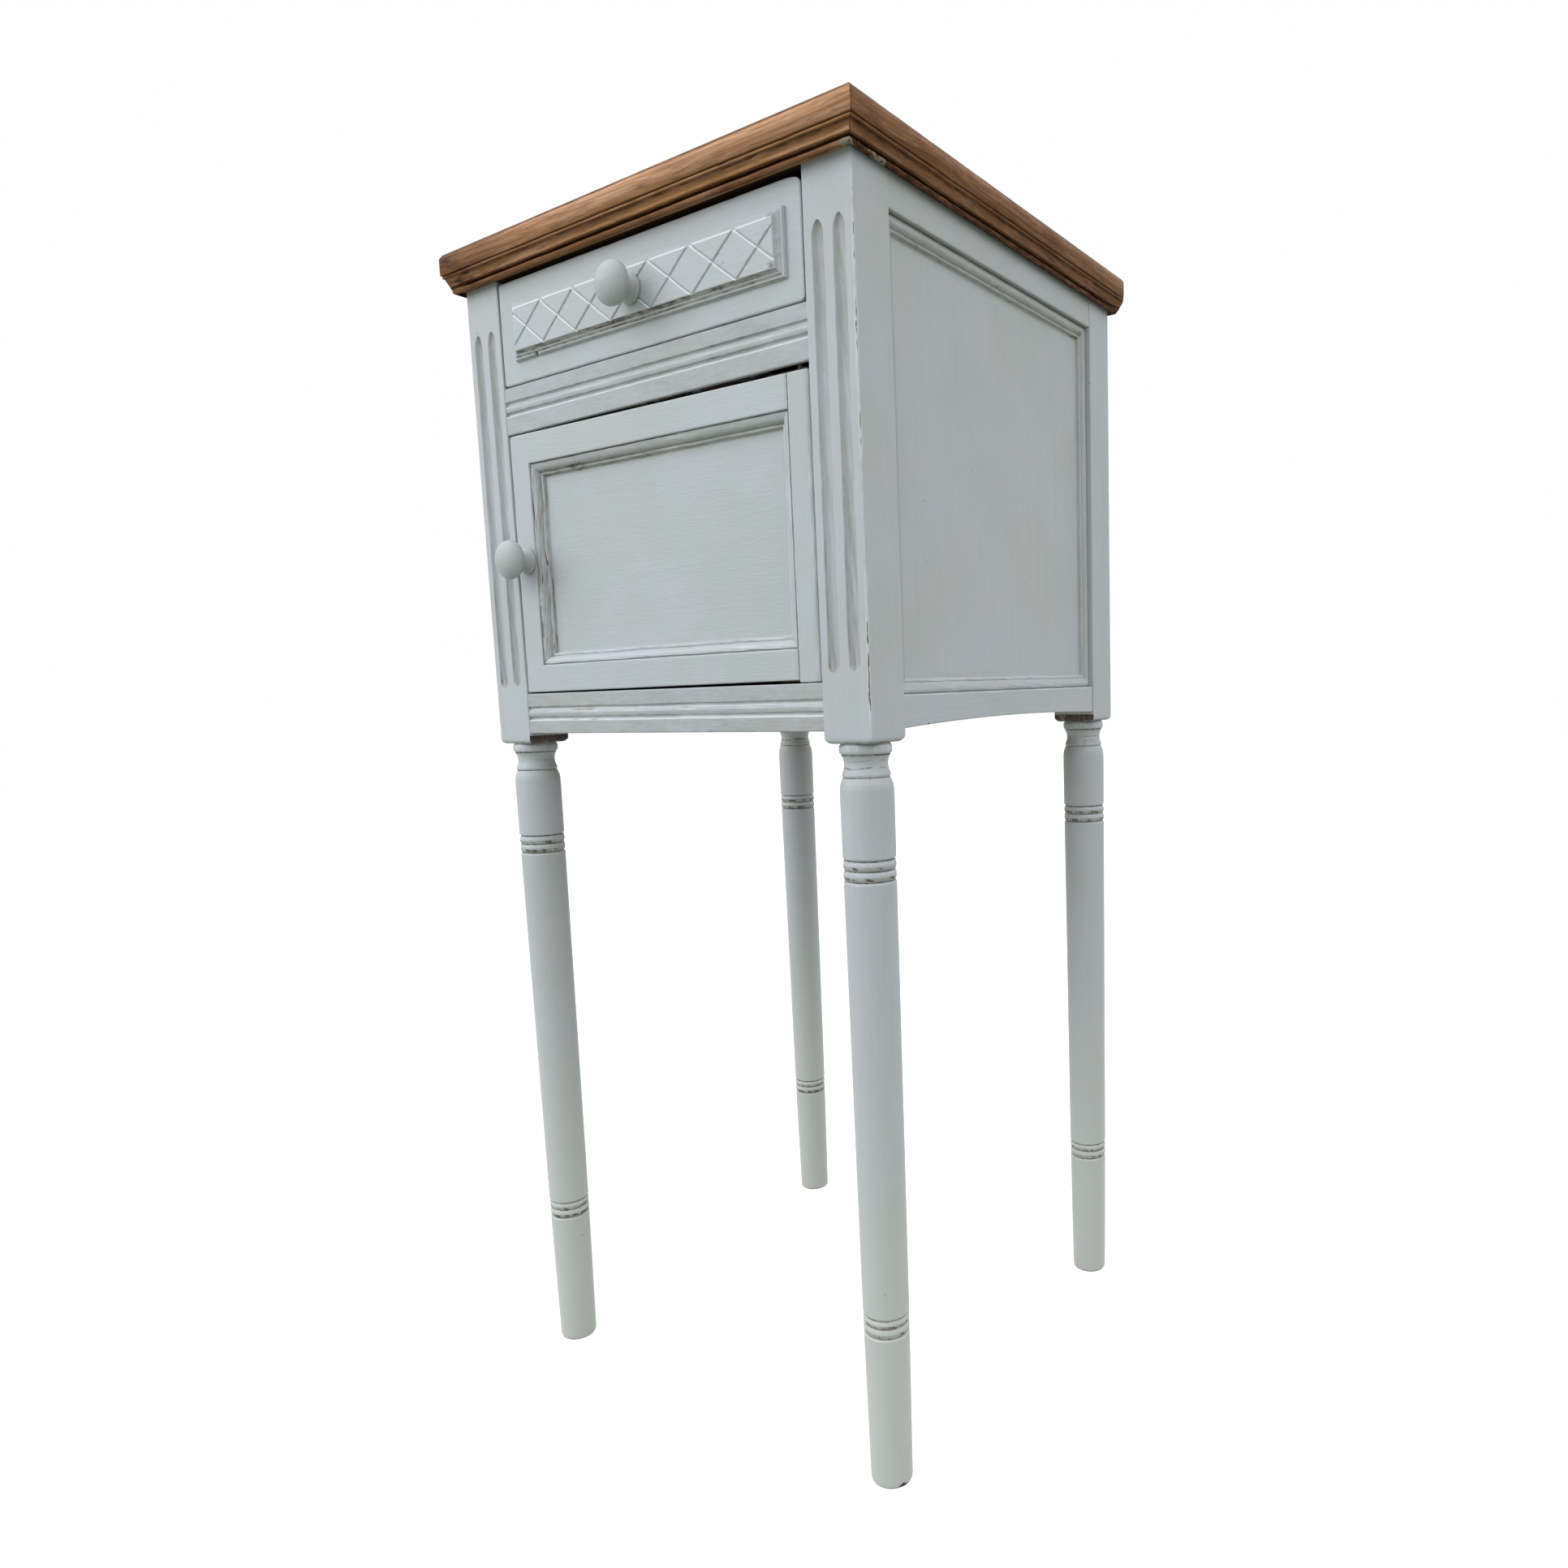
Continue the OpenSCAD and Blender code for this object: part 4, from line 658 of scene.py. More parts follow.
def stripped_oak():
    """Stripped and waxed oak: figure, streaks and dark pores, purple-brown where dirt and painted
    shade are laid on, and nearly black in the grooves and under the mouldings, old stain and
    painted shade. Wear past PAINTED_OVER marks paint run over it."""
    if "waxed_oak" in bpy.data.materials:
        return bpy.data.materials["waxed_oak"]
    look = finish()
    material, tree, shader = new_material("waxed_oak")
    grain = attribute(tree, "grain", "Vector")
    wear = attribute(tree, "wear")
    wood = grain_node(tree, grain, 520.0, 1500.0, 85.0)
    rubbed = group_node(tree, "edge_wear", {"Wear": wear, "Vector": grain, "Amount": 0.2})
    dirt_and_shading = attribute(tree, "dirt_and_shading")
    stain_and_shade = group_node(tree, "grime_and_shade", {"Dirt and shading": dirt_and_shading, "Vector": grain, "Amount": 1.0})
    broad = cloud(tree, stretched(tree, grain, 3.0, 40.0), 1.0, 2.0)
    peach = cloud(tree, stretched(tree, grain, 16.0, 300.0), 1.0, 2.0)
    film = calc(tree, "MULTIPLY_ADD", wood["Streak"], 0.5, -0.25)
    film = calc(tree, "MULTIPLY_ADD", film, dirt_and_shading, calc(tree, "MULTIPLY", stain_and_shade["Film"], 0.5))
    film = calc(tree, "MULTIPLY_ADD", dirt_and_shading, 0.5, film)
    groove = cloud(tree, stretched(tree, grain, 90.0, 400.0), 1.0, 2.0)
    groove = ease(tree, calc(tree, "MULTIPLY_ADD", groove, 0.5, dirt_and_shading), 1.0, 1.2)
    broken = calc(tree, "MULTIPLY_ADD", cloud(tree, grain, 160.0, 4.0, 0.6), 3.0, wear)
    base = mix(tree, ease(tree, broad, 0.42, 0.6), OAK_BROAD, tuple(look.oak))
    base = coats(tree, base, (
        (ease(tree, peach, 0.45, 0.62, 0.0, 0.6), OAK_PEACH),
        (ease(tree, wood["Figure"], 0.35, 0.95, 0.0, 0.3), tuple(look.oak_dark)),
        (ease(tree, wood["Streak"], 0.48, 0.64, 0.0, 0.5), tuple(look.oak_dark)),
        (calc(tree, "MULTIPLY", wood["Pore"], 0.4), OAK_PORE),
        (calc(tree, "MULTIPLY", rubbed["Rubbed"], 0.35), OAK_RUBBED),
        (film, OAK_FILM),
        (groove, tuple(look.oak_groove)),
        (ease(tree, broken, 3.05, 3.15, 0.0, 0.9), PAINT_RUN)))
    height = calc(tree, "MULTIPLY_ADD", wood["Pore"], -0.8, wood["Streak"])
    feed(tree, shader, {"Base Color": base, "Specular IOR Level": 0.05,
                        "Roughness": calc(tree, "MULTIPLY_ADD", wood["Streak"], 0.2, 0.40),
                        "Normal": bump(tree, height, 0.6, 0.0003)})
    return material


# Turn that brings the grain of a board along X, Y or Z onto the pattern's first axis
GRAIN_TURN = {"x": (0, 0, 0), "y": (0, 0, -math.pi / 2), "z": (0, math.pi / 2, 0)}


def inner_wood(axis, kind="inner_wood"):
    """Bare aged wood of the hidden boards, its grain along an axis. Plywood is redder, and the
    kind that shows in the gap over the drawer is dark brown, plain and dull: painted shade."""
    name = f"{kind}_{axis}"
    if name in bpy.data.materials:
        return bpy.data.materials[name]
    light, low = {"inner_wood": (tuple(finish().inside), BOARD_LOW),
                  "plywood": (PLY_LIGHT, BOARD_LOW),
                  "stained_wood": (SHADOW_WOOD_LIGHT, SHADOW_WOOD_LOW)}[kind]
    bare = 0.0 if kind == "stained_wood" else 1.0
    material, tree, shader = new_material(name)
    spot = add(tree, "TexCoord").outputs["Object"]
    grain = add(tree, "Mapping", {"Vector": spot, "Rotation": GRAIN_TURN[axis]}).outputs[0]
    wood = grain_node(tree, grain, 380.0, 1300.0, 55.0)
    base = mix(tree, ease(tree, cloud(tree, grain, 9.0, 3.0), 0.3, 0.7), light, low)
    base = coats(tree, base, (
        (ease(tree, wood["Figure"], 0.3, 1.0, 0.0, 0.35 * bare), BOARD_FIGURE),
        (ease(tree, wood["Streak"], 0.45, 0.75, 0.0, 0.5 * bare), BOARD_STREAK),
        (ease(tree, wood["Pore"], 0.0, 1.0, 0.0, 0.4 * bare), BOARD_PORE)))
    height = calc(tree, "SUBTRACT", wood["Streak"], wood["Pore"])
    feed(tree, shader, {"Base Color": base, "Specular IOR Level": 0.1 + 0.4 * bare,
                        "Roughness": calc(tree, "MULTIPLY_ADD", wood["Streak"], 0.15, 0.6),
                        "Normal": bump(tree, height, 0.5, 0.0003)})
    return material


def metal(name, light, dark):
    """Dull metal with darker spots and fine scratches."""
    if name in bpy.data.materials:
        return bpy.data.materials[name]
    material, tree, shader = new_material(name)
    spot = add(tree, "TexCoord").outputs["Object"]
    spots = cloud(tree, spot, 260.0, 4.0)
    scratch = cloud(tree, stretched(tree, spot, 90.0, 2600.0), 1.0, 1.0)
    feed(tree, shader, {"Base Color": mix(tree, ease(tree, spots, 0.45, 0.7), light, dark),
                        "Metallic": 1.0,
                        "Roughness": calc(tree, "MULTIPLY_ADD", spots, 0.25, 0.5),
                        "Normal": bump(tree, scratch, 0.25, 0.0001)})
    return material


def moulded(name, light, dark):
    """Matt moulded or sintered stuff with a fine orange peel."""
    if name in bpy.data.materials:
        return bpy.data.materials[name]
    material, tree, shader = new_material(name)
    spot = add(tree, "TexCoord").outputs["Object"]
    peel = cloud(tree, spot, 1400.0, 2.0)
    feed(tree, shader, {"Base Color": mix(tree, cloud(tree, spot, 90.0, 3.0), light, dark),
                        "Roughness": calc(tree, "MULTIPLY_ADD", peel, 0.15, 0.42),
                        "Normal": bump(tree, peel, 0.2, 0.0001)})
    return material


# Shapes of the pieces

# Flutes: how far they begin over the post's foot and end under the moulding, how far their
# middles lie from the post's, as a share of its width, and how worn their right arrises are,
# which rubs them pale: wear and painted highlight
FLUTE_FOOT, FLUTE_HEAD = 42.0, 31.5
FLUTE_APART = 0.215
FLUTE_WEAR_AND_HIGHLIGHT = 0.62


def flute_cut(t, u, v, wear, dirt_and_shading):
    """Sinks two flutes into the face v = -POST_W / 2. Over a half width w(t), which is round at
    the foot and drawn in at the head, the depth is d (1 - (x / w)^3). Dirt lies in streaks and
    scratches in them, most at the head, and painted shade darkens the left walls near the foot.
    Their right arrises are rubbed pale: wear and painted highlight."""
    half = shape().flute_width / MM / 2
    deep = shape().flute_depth / MM
    foot, head = shape().post_foot / MM + FLUTE_FOOT, BED_Z - FLUTE_HEAD
    rise = np.clip((t - foot) / half, 0, 1)
    tip = np.clip((t - head + 2.2 * half) / (2.2 * half), 0, 1)
    width = half * np.sqrt(1 - (1 - rise) ** 2) * (1 - tip ** 2) ** 0.65
    width = np.where((t > foot) & (t < head), width, 0)
    front = v < -POST_W / 2 + 0.3
    low = np.clip((head - t) / (head - foot) * 1.6 - 0.4, 0, 1)
    high = np.clip(1 - (head - t) / 70, 0, 1)
    for k, centre in enumerate((-POST_W * FLUTE_APART, POST_W * FLUTE_APART)):
        wander = 0.25 * noise(t, 31 + k, 14.0)
        across = np.abs(u - centre + wander)
        share = np.clip(1 - (across / np.maximum(width, 1e-6)) ** 3, 0, 1)
        depth = deep * share * np.sqrt(width / half) * front
        depth = depth * (1 + 0.12 * ragged(t, 41 + k, 30.0))
        v = v + depth
        cut = (width > 0.2) * front
        wall = band(across - width, -0.3, 0.5) * cut
        left = (u < centre) * wall
        # Right arrises rubbed pale: wear and painted highlight
        wear = np.maximum(wear, FLUTE_WEAR_AND_HIGHLIGHT * wall * (u > centre))
        streak = np.clip(0.45 + 1.1 * ragged(t + 9 * u, 51 + k, 22.0), 0, 1)
        scratch = np.clip(3 * noise(u + 0.01 * t, 55 + k, 0.5) * noise(t, 57 + k, 25.0), 0, 1)
        darkening = np.minimum(0.1 + 0.25 * high + 0.5 * streak, 0.7) + 0.2 * scratch * (1 - high)
        dirt_and_shading = np.maximum(dirt_and_shading, share * cut * darkening)
        # Painted shade on the left walls near the foot
        dirt_and_shading = np.maximum(dirt_and_shading, left * low * np.clip(0.45 + 0.6 * ragged(t, 61 + k, 9.0), 0, 1))
    return t, u, v, wear, dirt_and_shading


def post_section(right, front):
    """Square with softened arrises, sharper where a side rail meets it, and most worn on the
    outer arris of the front right post. A fluted front post has many points across its face,
    and a back post has the rebate for the back panel."""
    half = POST_W / 2
    corners = []
    for out, back in ((1, 0), (1, 1), (-1, 1), (-1, 0)):
        outer = out == (1 if right else -1)
        own_side = bool(back) != front
        r, wear = (1.1, 0.6) if outer and own_side else (0.1, 0) if outer else (0.8, 0.4)
        if outer and own_side and right and front:
            wear = 0.9
        if not front and back and not outer:
            step = [(out * (half - REBATE_W), half, 0, 0, 0),
                    (out * (half - REBATE_W), half - REBATE_T, 0, 0, 0),
                    (out * half, half - REBATE_T, 0, 0, 0)]
            corners += step if out < 0 else step[::-1]
            continue
        corners.append((out * half, (2 * back - 1) * half, r, wear, 0))
    if front:
        corners += [(u, -half, 0, 0, 0) for u in np.linspace(-half + 1.8, half - 1.8, 97)]
    return outline(corners)


def closed_rebate(t, u, v, half, inner):
    """Below the back panel the rebate's wall lies in the rear face and its floor in the inner
    face, which makes the post square there."""
    p = inner * u
    within = (p > half - REBATE_W - 0.01) & (t < REBATE_Z - 0.1)
    floor = within & (np.abs(v - half + REBATE_T) < 0.01)
    wall = within & ~floor & (p < half - REBATE_W + 0.01) & (v > half - REBATE_T)
    new_p = np.where(floor, half, np.where(wall, half - REBATE_W * (v - half + REBATE_T)
                                           / REBATE_T, p))
    new_v = np.where(wall, half, np.where(floor, half - REBATE_T * (p - half + REBATE_W)
                                          / REBATE_W, v))
    return inner * new_p, new_v


# Turned leg: height over the floor and radius, in millimetres, from foot to neck
LEG_SHAFT = [(0, 12.4), (0.4, 13.0), (1.4, 13.5), (3.0, 13.65), (59, 14.35), (124, 15.0),
             (368, 16.2), (446, 16.6), (452.5, 16.5), (455.2, 16.1), (457.2, 15.4),
             (458.5, 14.9), (459.0, 14.5), (459.5, 14.3), (460.0, 14.6), (460.9, 14.85),
             (462.2, 14.5), (464.0, 13.8), (466.0, 13.4), (467.4, 13.3), (469.2, 13.5),
             (471.2, 14.1), (472.7, 14.9), (473.3, 15.0)]
# Rounding of the posts' lower ends
FOOT_ROUND = 3.4
# Rows of the post at its rounded foot and at the ends of the flutes
FOOT_ROWS = np.concatenate([[0.15, 0.5, 1.0, 1.7, 2.5, 7.3, 7.5], np.arange(38, 52, 0.5)])
# Turned rings: three grooves each, with a bead between each two
LEG_RINGS = [(104.1, 110.7, 116.3), (396.9, 403.4, 409.6)]
RING_DEPTH = 1.3
# Collar under the post: how far its middle lies below the post's foot, half its height, the
# radius at its ends and how far it stands out from there
COLLAR_DROP, COLLAR_HALF, COLLAR_R, COLLAR_RISE = 3.6, 3.2, 13.4, 2.8
# Soiled creases under the collar and the neck: height and width
LEG_CREASES = [(473.0, 0.6), (459.5, 0.4)]
# Cracked neck of the leg: how far its middle lies below the post's foot, and its width
NECK_DROP, NECK_WIDTH = 12, 6
# Where the foot of the front right leg is chipped, as an angle from the right, and how high
FOOT_CHIP, FOOT_CHIP_Z = math.radians(-20), 3.6


def leg_rows():
    """Heights, radii, wear, and dirt and shading of the turned leg. A bead fills the length
    between two grooves with a half ellipse, and outside them the groove's side is straight. The
    collar under the post is flatter than a half round: (1 - x^3)^(1/3)."""
    top = shape().post_foot / MM
    z = np.unique(np.round(np.concatenate([
        np.linspace(0, 4, 11), np.arange(5, 100, 5), np.arange(100, 121, 0.25),
        np.arange(125, 392, 5), np.arange(392, 414, 0.25), np.arange(418, 452, 4),
        np.arange(452, top + 0.6, 0.3)]), 3))
    radius = np.interp(z, *np.array(LEG_SHAFT).T)
    place = np.abs((z - top + COLLAR_DROP) / COLLAR_HALF)
    share = np.clip(1 - place ** 3, 0, 1) ** (1 / 3)
    radius = np.where(place < 1, COLLAR_R + COLLAR_RISE * share, radius)
    wear = band(z, 0, 1.6) * 0.8 + share * 0.4
    dirt_and_shading = sum(band(z, height, width) for height, width in [*LEG_CREASES, (top, 0.5)])
    for grooves in LEG_RINGS:
        for low, high in zip(grooves, grooves[1:]):
            place = (z - (low + high) / 2) / ((high - low) / 2)
            inside = np.abs(place) < 1
            bead = np.sqrt(np.clip(1 - place ** 2, 0, 1))
            radius = radius - RING_DEPTH * (1 - bead) * inside
            wear = wear + inside * band(place, 0.55, 0.3) * 0.5
            # Painted shade on the lower side of each bead
            dirt_and_shading = dirt_and_shading + inside * band(place, -0.75, 0.2) * 0.45
        for groove, outer in ((grooves[0], -1), (grooves[-1], 1)):
            away = (z - groove) * outer
            radius = radius - RING_DEPTH * np.clip(1 - away / 1.2, 0, 1) * (away > 0)
            wear = wear + band(away, 1.4, 0.5) * 0.5
        for groove in grooves:
            dirt_and_shading = dirt_and_shading + band(z, groove, 0.45) * 0.95
    return z, radius, np.clip(wear, 0, 1), np.clip(dirt_and_shading, 0, 1)


def make_leg(node, seed):
    """Square post and turned leg in one piece."""
    low, high = box_mm(node)
    middle = np.array([(low[0] + high[0]) / 2, (low[1] + high[1]) / 2, 0])
    foot = shape().post_foot / MM
    half = POST_W / 2
    skin = Skin()
    front = "front" in node
    right = "right" in node

    def drop(t, u, v, wear, dirt_and_shading):
        """Rounds the lower end by a quarter circle, leaves the inner faces below the rails
        unpainted, breaks the worn arris up along the post and cuts the flutes."""
        rise = np.clip((t - foot) / FOOT_ROUND, 0, 1)
        drawn = FOOT_ROUND * 0.75 * (1 - np.sqrt(1 - (1 - rise) ** 2))
        wear = wear * (0.86 + 0.3 * ragged(t, seed + 2, 11.0))
        if not front:
            u, v = closed_rebate(t, u, v, half, -np.sign(middle[0]))
        u, v = rounded_corners(u, v, (-half, -half), (half, half), 0.3 + 3.2 * (1 - rise) ** 1.5)
        u, v = u * (1 - drawn / half), v * (1 - drawn / half)
        inner_x = u * np.sign(middle[0]) < -half + 0.5 + drawn
        inner_y = (v * (-1 if front else 1)) < -half + 0.5 + drawn
        ragged_line = RAIL_LOW[2] - 1.2 + 1.6 * ragged(3 * u + 2 * v, seed, 4.0)
        wear = np.where((inner_x | inner_y) & (t < ragged_line), UNPAINTED, wear)
        dirt_and_shading = np.maximum(dirt_and_shading, np.where(rise < 0.4, 0.9, 0) * (0.6 + 0.4 * noise(u + v, 5, 3.0)))
        return flute_cut(t, u, v, wear, dirt_and_shading) if front else (t, u, v, wear, dirt_and_shading)

    bar(skin, post_section(right, front), (middle, Z, X, Y), (foot, high[2]), step=1.6,
        grain="z", seed=seed, carve=drop, near=FOOT_ROWS)

    def cracked(z, angle, wear, dirt_and_shading):
        """Darkens the lower halves of the turned rings in smears of dirt and painted shade, cracks
        the paint of the neck and chips the foot of the front right leg."""
        smear = noise(5 * angle + 0.4 * z, seed + 3, 1.0) + 0.5 * noise(z, seed + 4, 0.6)
        for grooves in LEG_RINGS:
            for low, high in zip(grooves, grooves[1:]):
                # Smears of dirt and painted shade on the lower half of each bead
                under = band(z - low, 0.28 * (high - low), 0.2 * (high - low), 4)
                dirt_and_shading = np.maximum(dirt_and_shading, under * np.clip(0.7 + 0.5 * smear, 0.4, 1))
        neck = band(z - foot, -NECK_DROP, NECK_WIDTH, 4)
        crack = np.clip(3.2 * noise(z + 0.5 * np.sin(3 * angle), seed + 6, 0.9) - 1.2, 0, 1)
        dirt_and_shading = np.maximum(dirt_and_shading, neck * crack * (noise(4 * angle, seed + 7, 1.0) > -0.2))
        if front and right:
            away = np.abs((angle - FOOT_CHIP + np.pi) % (2 * np.pi) - np.pi)
            high = FOOT_CHIP_Z - 6.0 * away + 0.8 * noise(9 * angle, 8, 1.0)
            wear = np.where(z < high, UNPAINTED + 0.2, wear)
        return wear, dirt_and_shading

    turned(skin, *leg_rows(), (middle, Z, X, Y), "z", seed + 5, smear=cracked)
    skin.build(node + "_turned", node)


# Grooves of the reeded rails: how far below the rail's upper edge, how deep, half their width
REEDS_BELOW = 18.1, 11.0
REED_DEPTH, REED_HALF = 1.8, 1.4
# Least dirt on the reeded rails
RAIL_FILM = 0.3


def reeded_section(height):
    """Rail section, u outwards from the face and v up: two grooves, half ellipses, with a
    convex bead between them. Their lower lips carry a painted highlight and their upper sides
    painted shade and dirt; the bead has painted shade below and a painted highlight on top. A
    corner under the lower groove ends the highlight on the rail's face."""
    lower, upper = (height - below for below in REEDS_BELOW)
    soft = shape().arris / MM
    corners = [(-RAIL_T, 0, soft, 0.2, 0), (0, 0, soft, 0.5, 0), (0, lower - 2.3, 0, 0.1, 0)]
    for middle in (lower, upper):
        # Painted highlight on the lower lip, painted shade and dirt on the upper side
        corners += arc(0, middle, REED_DEPTH, REED_HALF, -90, -270, 11, (0.8, 0.3), (-1.0, 0.82))
        if middle == lower:
            # Bead: painted shade below, painted highlight on top
            corners += arc(-0.5, (lower + upper) / 2, 0.5, (upper - lower) / 2 - REED_HALF,
                           -60, 60, 7, (0.2, 0.5), (0.4, -0.2))
    corners += [(0, height, soft, 0.4, 0), (-RAIL_T, height, soft, 0.2, 0)]
    return outline(corners)


def make_front_rail(node, seed):
    """Reeded rail between the front posts."""
    low, high = box_mm(node)
    skin = Skin()

    def bare_under(t, u, v, wear, dirt_and_shading):
        """Wavers the grooves a little, lays a film of dirt where there is no painted highlight,
        and leaves the underside unpainted behind its front edge."""
        v = v + 0.12 * noise(t, seed, 30.0) * (v > 1) * (v < high[2] - low[2] - 1)
        film = RAIL_FILM + 0.16 * ragged(t + 3 * v, seed + 9, 22.0)
        dirt_and_shading = np.where(dirt_and_shading < 0, dirt_and_shading, np.maximum(dirt_and_shading, film))
        return t, u, v, np.where((v < 0.4) & (u < -1.5), UNPAINTED, wear), dirt_and_shading

    origin = np.array([0, FACE_Y, low[2]])
    bar(skin, reeded_section(high[2] - low[2]), (origin, X, -Y, Z), (-OPEN_X, OPEN_X),
        seed=seed, carve=bare_under)
    skin.build(node + "_reeded", node)


def moulding_section(width, depth, start, quirk):
    """Section of a panel moulding, u across from the frame's edge and v out from the panel:
    a quirk, a round whose arc runs from the start angle to 12 degrees, a fillet that stands a
    little proud of its foot and drops steeply, and a thin skin of paint on the panel."""
    # Dirt and painted shade: dark in the quirk, and at the fillet's foot on the panel
    corners = [(0, 0, 0, 0, 0), (0, depth - quirk, 0, 0, 1), (0.5, depth - quirk, 0, 0, 1),
               (0.9, depth - quirk + 0.9, 0.2, 0.3, 0.4)]
    low, stop = 1.9, 12
    from_cos, to_cos = math.cos(math.radians(start)), math.cos(math.radians(stop))
    run = (width - 4.0) / (to_cos - from_cos)
    corners += arc(1.1 - run * from_cos, low, run, depth - 0.6 - low, start, stop, 14,
                   (0.35, 0.0), (0.1, 0.45))
    corners += [(width - 2.6, low + 0.15, 0, 0.2, 0.4), (width - 2.4, low + 0.5, 0.15, 0.6, 0),
                (width - 0.9, low + 0.45, 0.3, 0.75, 0), (width - 0.5, 0.6, 0, 0, 0.6),
                (width - 0.1, 0.2, 0, 0, 0.8), (width + 0.4, 0.06, 0, 0, 0.5),
                (width + 4.0, 0.04, 0, 0, 0), (width + 4.0, 0, 0, 0, 0)]
    return outline(corners)


# Share of their dirt and shading that the four strips keep, from the lowest round; the lowest,
# which faces up, keeps least: painted light
STRIP_DIRT_AND_SHADE = (0.3, 0.7, 0.92, 1)
# Crest of a strip's round, its distance from the frame and its width
CREST, CREST_WIDTH = 3.6, 1.3
# Hairlines along strips rougher than the first number, at these distances from the frame
HAIRLINE_ROUGH, HAIRLINES = 0.5, (2.2, 4.4)


def frame_strips(skin, low, high, axes, section, seed, rough, film, rub=(1, 1, 1, 1),
                 warp=None):
    """Four mitred strips inside a rectangle. axes are its first and second direction and the
    way that it faces; low and high are its corners. rough is the height in millimetres of the
    lumps of old paint on each strip, which also rub pale and hold dirt; film is its least
    dirt and shading, but for its crest, dirt with painted shade strongest on the highest
    strip, and rub scales its wear. The first strip, the lowest, is the lightest and carries a
    painted highlight on its crest. Very rough strips have hairlines along them."""
    first, second, facing = axes
    size = np.array([(high - low) @ first, (high - low) @ second])
    corners = [low, low + size[0] * first, low + size[0] * first + size[1] * second,
               low + size[1] * second]
    runs = [(first, second), (second, -first), (-first, -second), (-second, first)]
    for k, (along, across) in enumerate(runs):
        grain = letter(along)

        def lumpy(t, u, v, wear, dirt_and_shading, k=k):
            """Lays lumps of paint on the strip, as ragged noise over its length and width,
            with pale tops and soiled hollows, the film of dirt and painted shade, the hairlines and
            the painted highlight."""
            own = seed + 11 * k
            lump = ragged(0.35 * t + 4 * u, own, 5.0)
            drift = noise(t + 2 * u, own + 3, 12.0)
            over = np.clip((v - 0.1) / 0.5, 0, 1)
            pale = np.clip(2.2 * rough[k] * lump, 0, 0.8) * over
            darkening = np.clip(-1.6 * rough[k] * ragged(0.4 * t + 5 * u, own + 5, 3.0), 0, 0.5)
            v = v + rough[k] * lump * over
            u = u + rough[k] * drift * over * (u > 0.4)
            crest = band(u, CREST, CREST_WIDTH)
            # Dirt and painted shade by the strip's share, and the film
            dirt_and_shading = np.maximum(dirt_and_shading * STRIP_DIRT_AND_SHADE[k], film[k] * over * (1 - crest))
            if rough[k] > HAIRLINE_ROUGH:
                for turn, place in enumerate(HAIRLINES):
                    away = u - place - 0.5 * noise(t, seed + 90 + turn, 30.0)
                    there = noise(t, seed + 95 + turn, 26.0) > -0.35
                    darkening = np.maximum(darkening, band(away, 0, 0.22) * there)
            wear = np.clip((wear + pale) * rub[k], 0, 0.85)
            # Painted highlight on the crest of the lowest strip
            highlight = 0.3 * crest * over * (k == 0)
            return t, u, v, wear, np.maximum(dirt_and_shading, darkening * over) - highlight

        bar(skin, section, (corners[k], along, across, facing), (0, size[k % 2]), mitre=(1, -1),
            grain=grain, seed=seed + 7 * k, warp=warp, carve=lumpy, step=1.6)


SIDE_STRIP_W = 10.0
DOOR_STRIP_W = 9.0
# Chipped lower edge of the side rails: its distance from the front post, width and wear
SIDE_CHIP = 27, 4, 1.3


def side_rail_section(low, high, panel_above):
    """Side rail, u outwards from its face and v up. Behind its arris, the edge that looks on
    the panel is darkened with dirt and painted shade, by the value that edge gives at each
    depth, and half so from below."""
    soft = 1.0
    # Dirt and painted shade on the edge towards the panel, by depth behind the arris
    edge = [(-1.2, 0.45), (-4.0, 0.6), (-9.0, 0.4)]
    corners = [(-RAIL_T, low, 0.4, 0, 0)]
    if not panel_above:
        corners += [(u, low, 0, 0.1, dirt_and_shading) for u, dirt_and_shading in edge[::-1]]
    corners += [(0, low, soft, 0.45, 0), (0, high, soft, 0.45, 0)]
    if panel_above:
        corners += [(u, high, 0, 0.1, 0.5 * dirt_and_shading) for u, dirt_and_shading in edge]
    return outline(corners + [(-RAIL_T, high, 0.4, 0, 0)])


